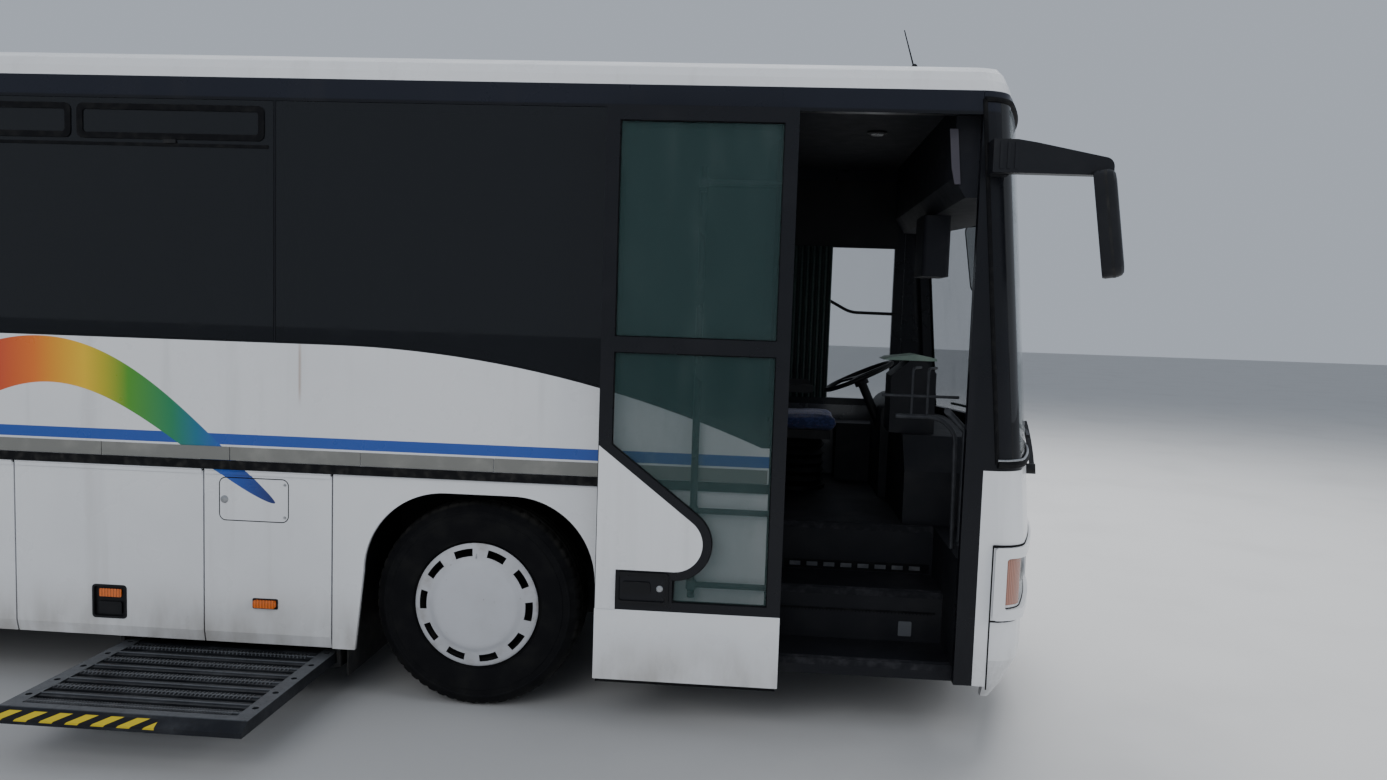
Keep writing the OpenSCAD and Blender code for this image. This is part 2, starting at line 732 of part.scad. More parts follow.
// Dashboard with the hood over the instruments, the driver's side desk and the fare machine on its post
dash_x = [2130, 2560];
dash_top = 1330;
dash_end = [-450, -300];
dash_shoulder = 1150;
desk_x = [1850, 2200];
desk_in = 950;
desk_top = 1250;
binnacle_x = [2080, 2300];
binnacle_y = [350, 980];
binnacle_top = 1480;
hood_r = 110;
fare_at = [2190, -75];
fare_half = [125, 130];
fare_top = 1740;
partition_x = [1328, 1358];
partition_in = -340;
partition_top = 1700;
module dashboard() color([0.13, 0.13, 0.14]) {
    side = inside_y - 5;
    intersection() {
        union() {
            along_x(dash_x) polygon([[dash_end[0], floor_z], [dash_end[0], dash_shoulder], [dash_end[1], dash_top],
                [side, dash_top], [side, floor_z]]);
            block(desk_x, [desk_in, side], [floor_z, desk_top]);
            translate([0, binnacle_y[1], 0]) rotate([90, 0, 0]) linear_extrude(binnacle_y[1] - binnacle_y[0]) {
                span(binnacle_x, [floor_z, binnacle_top - hood_r]);
                span(binnacle_x + [hood_r, 0], [floor_z, binnacle_top]);
                translate([binnacle_x[0] + hood_r, binnacle_top - hood_r]) circle(hood_r);
            }
        }
        leaning(wall_t + 25, [floor_z, far], 0);
    }
    translate([fare_at[0], fare_at[1] + fare_half[1], 0]) rotate([90, 0, 0]) linear_extrude(2 * fare_half[1]) {
        span([-fare_half[0], fare_half[0]], [dash_top + seat_gap, fare_top - 170]);
        polygon([[-fare_half[0], fare_top - 170], [-fare_half[0], fare_top - 90], [-20, fare_top], [60, fare_top],
            [fare_half[0], fare_top - 70], [fare_half[0], fare_top - 170]]);
    }
    block(partition_x, [seat_gap - inside_y, partition_in], [floor_z + podium_h, partition_top]);
}
wheel_hub = [1960, 650, 1590];
module steering_wheel() color(rubber_black) {
    translate(wheel_hub) rotate([0, -25, 0]) {
        rotate_extrude($fn = 64) translate([225, 0]) circle(14);
        for (a = [0 : 120 : 240]) rotate([0, 0, a]) translate([0, -15, -10]) cube([215, 30, 14]);
        translate([0, 0, -60]) cylinder(r = 45, h = 65);
    }
    intersection() {
        translate(wheel_hub) rotate([0, -25, 0]) translate([0, 0, -470]) cylinder(r = 28, h = 430);
        block([0, binnacle_x[0] - seat_gap], [0, far], [0, far]);
    }
}

// Seat seen from the side: cushion and leaning back on a pan with its pedestal
pan_z = [372, 392];
cushion_side = [[8, pan_z[1] + seat_gap], [430, pan_z[1] + seat_gap], [455, 425], [440, 480], [8, 470]];
back_side = [[4, pan_z[1] + seat_gap], [7.7, 440], [-62, 1080], [-95, 1130], [-145, 1125], [-165, 1075],
    [-85, pan_z[1] + seat_gap]];
module seat(w) {
    rotate([90, 0, 0]) for (side = [cushion_side, back_side])
        translate([0, 0, -w / 2]) linear_extrude(w) polygon(side);
    block([-85, 430], [30 - w / 2, w / 2 - 30], pan_z);
    block([60, 320], [-w / 4, w / 4], [0, pan_z[0] - seat_gap]);
}
driver_at = [1380, 650];
driver_w = 520;
module driver_seat() color(seat_blue) {
    translate([driver_at[0], driver_at[1], floor_z]) seat(driver_w);
}
seat_w = 880;
first_left = 250;
first_right = 560;
module passenger_seats() color(seat_blue) {
    y = aisle_w / 2 + seat_w / 2 + 15;
    for (i = [0 : 10]) translate([first_left - i * seat_pitch, y, floor_z + podium_h]) seat(seat_w);
    for (i = [0 : 5]) translate([first_right - i * seat_pitch, -y, floor_z + podium_h]) seat(seat_w);
    for (i = [0 : 2]) translate([mid_door_rear - 560 - i * seat_pitch, -y, floor_z + podium_h]) seat(seat_w);
}
// Ceiling, luggage racks, the console over the windscreen and the monitor that hangs from it
ceiling_t = 18;
ceiling_x = [tail_x + 300, 2200];
rack_front = 1300;
rack_in = 900;
rack_z = [2520, 2560];
console_half = 1100;
console_low = 2545;
monitor_x = [2200, 2350];
monitor_y = [-235, 85];
monitor_z = [2210, 2545];
module overhead_racks() color([0.45, 0.45, 0.47]) {
    block(ceiling_x, [-inside_y + 5, inside_y - 5], [cornice_z - ceiling_t, cornice_z]);
    rack([ceiling_x[0], rack_front], 1);
    rack([ceiling_x[0], mid_door_rear - 60], -1);
    rack([mid_door_front + 60, rack_front], -1);
    intersection() {
        translate([0, console_half, 0]) rotate([90, 0, 0]) linear_extrude(2 * console_half)
            polygon([[ceiling_x[1] + seat_gap, cornice_z - ceiling_t], [ceiling_x[1] + seat_gap, console_low + 90],
                [ceiling_x[1] + 60, console_low], [ceiling_x[1] + 400, console_low], [ceiling_x[1] + 400, cornice_z - ceiling_t]]);
        leaning(wall_t + 5, [console_low - eps, cornice_z], 0);
    }
    translate([0, 0, monitor_z[0]]) linear_extrude(monitor_z[1] - monitor_z[0] - seat_gap)
        rounded(monitor_x, monitor_y, 25);
}
module rack(x, s) {
    on_side(s) {
        block(x, [rack_in, inside_y], rack_z - [0, seat_gap]);
        block(x, [inside_y - 20, inside_y], [rack_z[1], cornice_z - ceiling_t - seat_gap]);
    }
}
module handrails() color([0.6, 0.6, 0.62]) {
    y = -inside_y + 35;
    x = door_front + 12;
    bent_bar([[x, -inside_y + seat_gap, 930], [x, y, 930], [x, y, 1460], [x - 90, y, 1550],
        [x - 90, -inside_y + 20, 1550]], 16);
    pole = [(partition_x[0] + partition_x[1]) / 2, partition_in + 21];
    bar([pole[0], pole[1], floor_z + podium_h], [pole[0], pole[1], cornice_z - ceiling_t], 17);
}

module front_axle() color(steel_grey) {
    difference() {
        union() {
            block([-45, 45], [-kingpin_y + 20, kingpin_y - 20], [tyre_r - 55, tyre_r + 35]);
            left_right() translate([0, kingpin_y, tyre_r - boss_half]) cylinder(r = 38, h = 2 * boss_half);
            left_right() block([-170, 170], [330, 430], [tyre_r + 35, tyre_r + 55]);
            left_right() for (x = [-120, 120]) translate([x, 380, tyre_r + 55]) cylinder(r = 50, h = 640 - tyre_r - 55);
        }
        left_right() translate([0, kingpin_y, 0]) cylinder(r = kingpin_r + running, h = far);
    }
}
module rear_axle() color(steel_grey) translate([rear_x, 0, tyre_r]) {
    left_right() rotate([-90, 0, 0]) {
        cylinder(r = 75, h = rear_mid_y - 60);
        cylinder(r = rear_spindle_r, h = rear_mid_y + 120);
    }
    rotate([-90, 0, 0]) translate([0, 0, -110]) cylinder(r = 190, h = 220);
    left_right() for (x = [-280, 280]) translate([x, 380, 30]) cylinder(r = 50, h = 640 - tyre_r - 30);
    left_right() block([-330, 330], [345, 415], [-10, 30]);
}

module knuckle(s) {
    on_side(s) color(steel_grey) translate([0, kingpin_y, tyre_r]) {
        translate([0, 0, -95]) cylinder(r = kingpin_r, h = 190);
        for (z = [boss_half + 2, -boss_half - 35]) translate([-40, -35, z]) cube([80, 115, 33]);
        translate([-60, 48, -95]) cube([120, 32, 190]);
        rotate([-90, 0, 0]) translate([0, 0, 48]) cylinder(r = spindle_r, h = 110);
    }
}
module tyre(y) {
    turned(0, 0) polygon([
        [rim_r, y - tyre_w / 2 + 28], [rim_r + 25, y - tyre_w / 2 + 8], [rim_r + 110, y - tyre_w / 2],
        [tyre_r - 60, y - tyre_w / 2 + 8], [tyre_r - 12, y - tyre_w / 2 + 24], [tyre_r, y - tyre_w / 2 + 50],
        [tyre_r, y + tyre_w / 2 - 50], [tyre_r - 12, y + tyre_w / 2 - 24], [tyre_r - 60, y + tyre_w / 2 - 8],
        [rim_r + 110, y + tyre_w / 2], [rim_r + 25, y + tyre_w / 2 - 8], [rim_r, y + tyre_w / 2 - 28]]);
}
module rim_barrel(y) {
    w = tyre_w / 2 - 28;
    turned(0, 0) polygon([[rim_r - 20, y - w], [rim_r, y - w], [rim_r, y + w], [rim_r - 20, y + w]]);
}
module front_tyre(s) { color(rubber_black) on_side(s) translate([0, 0, tyre_r]) tyre(front_tyre_y); }
module front_rim(s) {
    y = front_tyre_y;
    color([0.85, 0.85, 0.85]) on_side(s) translate([0, 0, tyre_r]) {
        rim_barrel(y);
        difference() {
            turned(0, 0) polygon([
                [spindle_r + running, y + 30], [110, y + 30], [110, y + 92], [rim_r - 20, y + 100], [rim_r - 20, y + 112],
                [120, y + 106], [120, y + 142], [175, y + 142], [175, y + 138], [240, y + 136], [300, y + 138], [305, y + 141],
                [305, y + 145], [240, y + 153], [180, y + 160], [165, y + 156], [60, y + 150], [0, y + 150], [0, y + 112],
                [spindle_r + running, y + 112]]);
            for (a = [0 : 36 : 324]) rotate([0, a + 18, 0]) translate([-45, y + 115, 262]) cube([90, 60, 26]);
        }
    }
}
module rear_tyres(s) {
    color(rubber_black) on_side(s) translate([rear_x, 0, tyre_r])
        for (k = [-1, 1]) tyre(rear_mid_y + k * twin_pitch / 2);
}
module rear_rims(s) {
    y = rear_mid_y;
    w = tyre_w / 2 - 28;
    color([0.8, 0.8, 0.8]) on_side(s) translate([rear_x, 0, tyre_r]) {
        for (k = [-1, 1]) rim_barrel(y + k * twin_pitch / 2);
        turned(0, 0) polygon([
            [rear_spindle_r + running, y - 40], [150, y - 40], [150, y - 15], [rim_r - 20, y - 60], [rim_r - 10, y - 60],
            [rim_r - 10, y + 60], [rim_r - 20, y + 60], [150, y + 15], [150, y + 60], [120, y + 180],
            [95, y + 195], [0, y + 195], [0, y + 130], [rear_spindle_r + running, y + 130]]);
    }
}

lift_t = 55;
module lift_cassette() color(steel_grey) {
    x = [lift_rear - 25, lift_rear + lift_len + 25];
    y = [-inside_y + 5, 120];
    z = [lift_z - lift_t - 20, bay_floor];
    difference() {
        block(x, y, z);
        block(x + [19, -19], [-far, y[1] - 20], [z[0] + 12, z[1] - 12]);
    }
    for (runner = [[x[0] + 19, x[0] + 50], [x[1] - 50, x[1] - 19]])
        block(runner, [y[0], y[1] - 20], [z[0] + 11, lift_z - lift_t - seat_gap]);
}
// Platform: two side beams with a row of holes, a ramped outer edge, an inner beam, and ridged planks between
beam_w = 70;
edge_w = 95;
edge_drop = 22;
hole_r = 14;
plank_h = 30;
ridge = 5;
module platform_plank(x) {
    w = plank_w;
    along_x(x) polygon([[0, -plank_h], [0, -ridge], [w / 2 - 8, -ridge], [w / 2 - 3, 0], [w / 2 + 3, 0],
        [w / 2 + 8, -ridge], [w, -ridge], [w, -plank_h], [w - 4, -plank_h], [w - 4, -ridge - 4], [4, -ridge - 4], [4, -plank_h]]);
}
module lift_platform() color([0.55, 0.56, 0.58]) {
    x = [lift_rear, lift_rear + lift_len];
    y = [-half_w - lift_out, -inside_y + 60];
    bed_x = x + [beam_w + seat_gap, -beam_w - seat_gap];
    bed_y = [y[0] + edge_w + seat_gap, y[1] - beam_w];
    count = floor((bed_y[1] - bed_y[0]) / (plank_w + plank_gap));
    pitch = (bed_y[1] - bed_y[0]) / count;
    for (beam = [[x[0], x[0] + beam_w], [x[1] - beam_w, x[1]]]) difference() {
        block(beam, [y[0] + edge_w + seat_gap, y[1]], [lift_z - lift_t, lift_z]);
        for (i = [1 : 2 : count]) translate([(beam[0] + beam[1]) / 2, bed_y[0] + i * pitch, lift_z - 8])
            cylinder(r = hole_r, h = far);
    }
    along_x(x) polygon([[y[0], lift_z - lift_t], [y[0], lift_z - lift_t + edge_drop], [y[0] + edge_w - 40, lift_z],
        [y[0] + edge_w, lift_z], [y[0] + edge_w, lift_z - lift_t]]);
    block(bed_x, [bed_y[1] + seat_gap, y[1]], [lift_z - lift_t, lift_z - ridge]);
    for (i = [0 : count - 1]) translate([0, bed_y[0] + i * pitch, lift_z]) platform_plank(bed_x);
}

// Doors: arm and column on one body, leaf with its bar and glass on the next
module door_arm(dx, turn) {
    color(steel_grey) translate([dx + column_x, column_y, 0]) rotate([0, 0, turn]) {
        translate([0, 0, column_low]) cylinder(r = column_r, h = column_high - column_low);
        for (z = arm_heights) {
            difference() {
                union() {
                    bent_bar([[0, 0, z], [0, -arm_reach_y, z], [-arm_reach_x + bar_r, -arm_reach_y, z]], arm_r);
                    translate([-arm_reach_x, -arm_reach_y, z - 20]) cylinder(r = eye_r, h = 40);
                }
                translate([-arm_reach_x, -arm_reach_y, z - 50]) cylinder(r = bar_r + running, h = 100);
            }
        }
    }
}
glass_z = [630, 2820];
mid_bar_z = [1780, 1850];
frame_w = 62;
apron_nose = [closed_rear + 365, 905];
apron_slope = 37.7;
lock_box = [[closed_rear, closed_rear + 360], [585, 775]];
module apron(grow) {
    r = apron_r + grow;
    reach = apron_nose[0] - closed_rear;
    translate(apron_nose) circle(r);
    polygon([[closed_rear, apron_nose[1] - r], apron_nose - [0, r], apron_nose + r * [sin(apron_slope), cos(apron_slope)],
        [closed_rear, apron_nose[1] + r / cos(apron_slope) + reach * tan(apron_slope)]]);
}
module leaf_panes(low, high) {
    if (low) difference() {
        span([closed_rear + frame_w, closed_rear + leaf_len - frame_w], [glass_z[0], mid_bar_z[0]]);
        apron(apron_border);
        span(lock_box[0], lock_box[1]);
    }
    if (high) span([closed_rear + frame_w, closed_rear + leaf_len - frame_w], [mid_bar_z[1], glass_z[1]]);
}
module leaf_place(dx, closed) {
    translate([dx + (closed ? 0 : -leaf_travel), closed ? 0 : -leaf_out, 0]) children();
}
module door_leaf(dx, closed) {
    color(white_paint) leaf_place(dx, closed) {
        x = [closed_rear, closed_rear + leaf_len];
        right_plate(0, leaf_t) difference() {
            span(x, [leaf_low, leaf_high]);
            leaf_panes(true, true);
        }
        translate([closed_bar[0], closed_bar[1], 640]) cylinder(r = bar_r, h = 1990);
        for (z = [arm_heights[0] - 25, arm_heights[1] - 25, 1835, arm_heights[2] - 25])
            block([closed_bar[0] - 14, closed_bar[0] + 14], [-half_w + leaf_t, closed_bar[1]], [z - 20, z]);
    }
}
module door_glass(dx, closed) {
    color(glass_tint) leaf_place(dx, closed) {
        right_plate(18, glass_t) leaf_panes(true, false);
        right_plate(18, glass_t) leaf_panes(false, true);
    }
}
mid_dx = mid_door_rear - door_rear;

module door_front_arm() door_arm(0, 0);
module door_front_leaf() door_leaf(0, false);
module door_front_glass() door_glass(0, false);
module door_mid_arm() door_arm(mid_dx, swing);
module door_mid_leaf() door_leaf(mid_dx, true);
module door_mid_glass() door_glass(mid_dx, true);

place() {
    underframe();
    floor_deck();
    wheel_housings();
    entry_steps();
    lower_panels();
    belt_panels();
    frame_right();
    frame_left();
    windows();
    roof();
    roof_fittings();
    front_mask();
    windscreen_frame();
    windscreen();
    front_bumper();
    front_lamps();
    wipers();
    mirrors();
    rear_wall();
    rear_bumper();
    rear_lamps();
    engine_lid();
    engine_block();
    rub_rails();
    dashboard();
    steering_wheel();
    driver_seat();
    passenger_seats();
    overhead_racks();
    handrails();
    front_axle();
    rear_axle();
    lift_cassette();
    lift_platform();
    door_front_arm();
    door_front_leaf();
    door_front_glass();
    door_mid_arm();
    door_mid_leaf();
    door_mid_glass();
    knuckle(1);  // knuckle_left
    knuckle(-1);  // knuckle_right
    front_tyre(1);  // tyre_front_left
    front_tyre(-1);  // tyre_front_right
    front_rim(1);  // rim_front_left
    front_rim(-1);  // rim_front_right
    rear_tyres(1);  // tyres_rear_left
    rear_tyres(-1);  // tyres_rear_right
    rear_rims(1);  // rims_rear_left
    rear_rims(-1);  // rims_rear_right
    flap(right_flaps[0], true);  // flap_right_1
    flap(right_flaps[1]);  // flap_right_2
    flap(right_flaps[2]);  // flap_right_3
    flap(right_flaps[3]);  // flap_right_4
    mirror([0, 1, 0]) flap(left_flaps[0]);  // flap_left_1
    mirror([0, 1, 0]) flap(left_flaps[1]);  // flap_left_2
    mirror([0, 1, 0]) flap(left_flaps[2]);  // flap_left_3
    mirror([0, 1, 0]) flap(left_flaps[3]);  // flap_left_4
    mirror([0, 1, 0]) flap(left_flaps[4]);  // flap_left_5
}
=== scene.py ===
import bpy
import bmesh
import json
from math import radians, pi, sin, cos, tan, sqrt, exp, atan2
from mathutils import Matrix, Vector


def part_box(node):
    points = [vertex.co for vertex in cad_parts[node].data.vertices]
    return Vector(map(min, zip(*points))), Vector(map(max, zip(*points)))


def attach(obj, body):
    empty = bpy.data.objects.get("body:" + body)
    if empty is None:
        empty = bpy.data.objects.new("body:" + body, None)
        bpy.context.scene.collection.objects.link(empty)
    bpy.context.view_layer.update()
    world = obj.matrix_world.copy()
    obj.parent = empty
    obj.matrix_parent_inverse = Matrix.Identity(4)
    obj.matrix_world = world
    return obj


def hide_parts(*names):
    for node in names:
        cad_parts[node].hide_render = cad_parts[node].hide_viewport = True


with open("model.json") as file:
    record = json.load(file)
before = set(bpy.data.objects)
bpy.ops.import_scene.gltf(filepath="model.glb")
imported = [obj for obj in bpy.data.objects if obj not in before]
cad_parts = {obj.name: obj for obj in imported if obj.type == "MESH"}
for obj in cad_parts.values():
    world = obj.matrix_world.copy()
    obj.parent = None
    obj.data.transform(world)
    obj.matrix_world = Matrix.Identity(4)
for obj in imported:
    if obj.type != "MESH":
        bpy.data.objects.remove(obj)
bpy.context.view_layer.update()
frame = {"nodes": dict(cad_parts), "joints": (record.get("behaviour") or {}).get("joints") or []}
nodes = frame["nodes"]

# Places run from the front axle: X forward, Y to the left, Z up from the ground, all in metres
jointAt = {joint["name"]: joint.get("pos_m") for joint in frame["joints"]}
offsetX = jointAt["steer_left"][0]
offsetY = (jointAt["steer_left"][1] + jointAt["steer_right"][1]) / 2


def at(x, y, z):
    return Vector((x + offsetX, y + offsetY, z))


def nodeBox(name):
    low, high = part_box(name)
    shift = Vector((offsetX, offsetY, 0))
    return low - shift, high - shift


bus = dict(
    halfWidth=nodeBox("belt_panels")[1].y,
    rearAxle=jointAt["spin_rear_left"][0] - offsetX,
    wheelZ=jointAt["spin_front_left"][2],
    frontWheelY=(nodeBox("tyre_front_left")[0].y + nodeBox("tyre_front_left")[1].y) / 2,
    doorRear=1.395,
    midDoorRear=nodeBox("door_mid_leaf")[0].x - 0.025,
    midDoorFront=nodeBox("door_mid_leaf")[1].x + 0.01,
    floor=0.86,
)
bothSides = ((1, "left"), (-1, "right"))
print("stage: frame loaded")


# Spans and meshes
def inset(span, by):
    return (span[0] + by, span[1] - by)


def around(middle, half):
    return (middle - half, middle + half)


def outside(side, *distances):
    # Y places at a side wall, from their distances outside the skin
    return sorted(side * (bus["halfWidth"] + distance) for distance in distances)


def onAxis(axis, u, v, w):
    # A point of an outline that stands across an axis, with w along it
    return {"x": (w, u, v), "y": (u, w, v), "z": (u, v, w)}[axis]


def ringFaces(count, loops=4, closed=True):
    # Quads between loops of points; closed joins the last loop to the first
    faces = []
    for k in range(loops if closed else loops - 1):
        a, b = k * count, (k + 1) % loops * count
        faces += [[a + i, a + (i + 1) % count, b + (i + 1) % count, b + i] for i in range(count)]
    return faces


def roundedRect(u, v, radius, steps=4):
    corners = [(u[1] - radius, v[1] - radius, 0), (u[0] + radius, v[1] - radius, 90),
               (u[0] + radius, v[0] + radius, 180), (u[1] - radius, v[0] + radius, 270)]
    return [point for cu, cv, start in corners for point in arc((cu, cv), radius, start, start + 90, steps)]


def arc(centre, radius, start, end, steps=12):
    turns = [radians(start + (end - start) * i / steps) for i in range(steps + 1)]
    return [(centre[0] + radius * cos(a), centre[1] + radius * sin(a)) for a in turns]


def bendPath(points, radius, steps=5):
    points = [Vector(p) for p in points]
    path = [points[0]]
    for before, corner, after in zip(points, points[1:], points[2:]):
        back = (before - corner).normalized() * min(radius, (before - corner).length / 2)
        ahead = (after - corner).normalized() * min(radius, (after - corner).length / 2)
        for i in range(steps + 1):
            t = i / steps
            path.append(corner + back * (1 - t) ** 2 + ahead * t ** 2)
    return path + [points[-1]]


class Shape:
    # The mesh of one piece while it is being made; paint is the finish of the next faces
    def __init__(self):
        self.mesh = bmesh.new()
        self.paint = 0
        self.turn = Matrix()

    def solid(self, points, faces, bevel=0.0):
        verts = [self.mesh.verts.new(self.turn @ Vector(p)) for p in points]
        made = []
        for face in faces:
            new = self.mesh.faces.new([verts[i] for i in face])
            new.material_index = self.paint
            made.append(new)
        if bevel:
            edges = {edge for face in made for edge in face.edges}
            sharp = [edge for edge in edges if len(edge.link_faces) == 2 and edge.calc_face_angle(0) > 0.5]
            bmesh.ops.bevel(self.mesh, geom=sharp, offset=bevel, segments=2, profile=0.6, affect="EDGES",
                            clamp_overlap=True)
        return verts

    def prism(self, outline, low, high, axis="y", bevel=0.0):
        count = len(outline)
        points = [onAxis(axis, u, v, w) for w in (low, high) for u, v in outline]
        faces = [list(range(count)), list(range(2 * count - 1, count - 1, -1))]
        faces += [[i, i + count, (i + 1) % count + count, (i + 1) % count] for i in range(count)]
        self.solid(points, faces, bevel)

    def box(self, x, y, z, bevel=0.0):
        self.prism([(x[0], z[0]), (x[1], z[0]), (x[1], z[1]), (x[0], z[1])], y[0], y[1], "y", bevel)

    def ring(self, outer, inner, low, high, axis="y", bevel=0.0):
        loops = [(outer, low), (inner, low), (inner, high), (outer, high)]
        points = [onAxis(axis, u, v, w) for loop, w in loops for u, v in loop]
        self.solid(points, ringFaces(len(outer)), bevel)

    def turned(self, profile, centre, axis="y", count=48, closed=False, wobble=None):
        # Profile points are (radius, place along the axis)
        points = []
        for k in range(count):
            a = 2 * pi * k / count
            for row, (radius, along) in enumerate(profile):
                r = radius + (wobble(row, k) if wobble else 0)
                points.append(Vector(centre) + Vector(onAxis(axis, r * cos(a), r * sin(a), along)))
        rows = len(profile)
        faces = []
        for k in range(count):
            after = (k + 1) % count
            for row in range(rows if closed else rows - 1):
                below = (row + 1) % rows
                faces.append([k * rows + row, k * rows + below, after * rows + below, after * rows + row])
        verts = self.solid(points, faces)
        if min(radius for radius, along in profile) < 1e-6:
            bmesh.ops.remove_doubles(self.mesh, verts=verts, dist=1e-6)
            flat = [edge for edge in self.mesh.edges if edge.calc_length() < 1e-7]
            bmesh.ops.dissolve_degenerate(self.mesh, dist=1e-7, edges=flat)

    def pipe(self, path, radius, sides=10):
        path = [Vector(p) for p in path]
        along = (path[1] - path[0]).normalized()
        side = along.orthogonal().normalized()
        points = []
        for i, p in enumerate(path):
            ahead = (path[min(i + 1, len(path) - 1)] - path[max(i - 1, 0)]).normalized()
            side = (side - ahead * side.dot(ahead)).normalized()
            other = ahead.cross(side)
            r = radius[i] if isinstance(radius, list) else radius
            points += [p + side * r * cos(2 * pi * k / sides) + other * r * sin(2 * pi * k / sides)
                       for k in range(sides)]
        rings = len(path)
        faces = [list(range(sides)), list(range(rings * sides - 1, (rings - 1) * sides - 1, -1))]
        for i in range(rings - 1):
            faces += [[i * sides + k, (i + 1) * sides + k, (i + 1) * sides + (k + 1) % sides,
                       i * sides + (k + 1) % sides] for k in range(sides)]
        self.solid(points, faces)

    def sheet(self, rows):
        wide = len(rows[0])
        faces = [[i * wide + j, i * wide + j + 1, (i + 1) * wide + j + 1, (i + 1) * wide + j]
                 for i in range(len(rows) - 1) for j in range(wide - 1)]
        self.solid([point for row in rows for point in row], faces)


def makePiece(name, shape, finishes, body, stands=(), angle=32, origin=None):
    finishes = finishes if isinstance(finishes, (list, tuple)) else [finishes]
    home = at(*origin) if origin else Vector((0, 0, 0))
    bmesh.ops.recalc_face_normals(shape.mesh, faces=shape.mesh.faces[:])
    bmesh.ops.translate(shape.mesh, verts=shape.mesh.verts[:], vec=Vector((offsetX, offsetY, 0)) - home)
    mesh = bpy.data.meshes.new(name)
    shape.mesh.to_mesh(mesh)
    shape.mesh.free()
    for finish in finishes:
        mesh.materials.append(finish.material)
    for polygon in mesh.polygons:
        polygon.use_smooth = True
    mesh.set_sharp_from_angle(angle=radians(angle))
    piece = bpy.data.objects.new(name, mesh)
    piece.location = home
    bpy.context.scene.collection.objects.link(piece)
    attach(piece, body)
    if stands:
        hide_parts(*stands)
    return piece


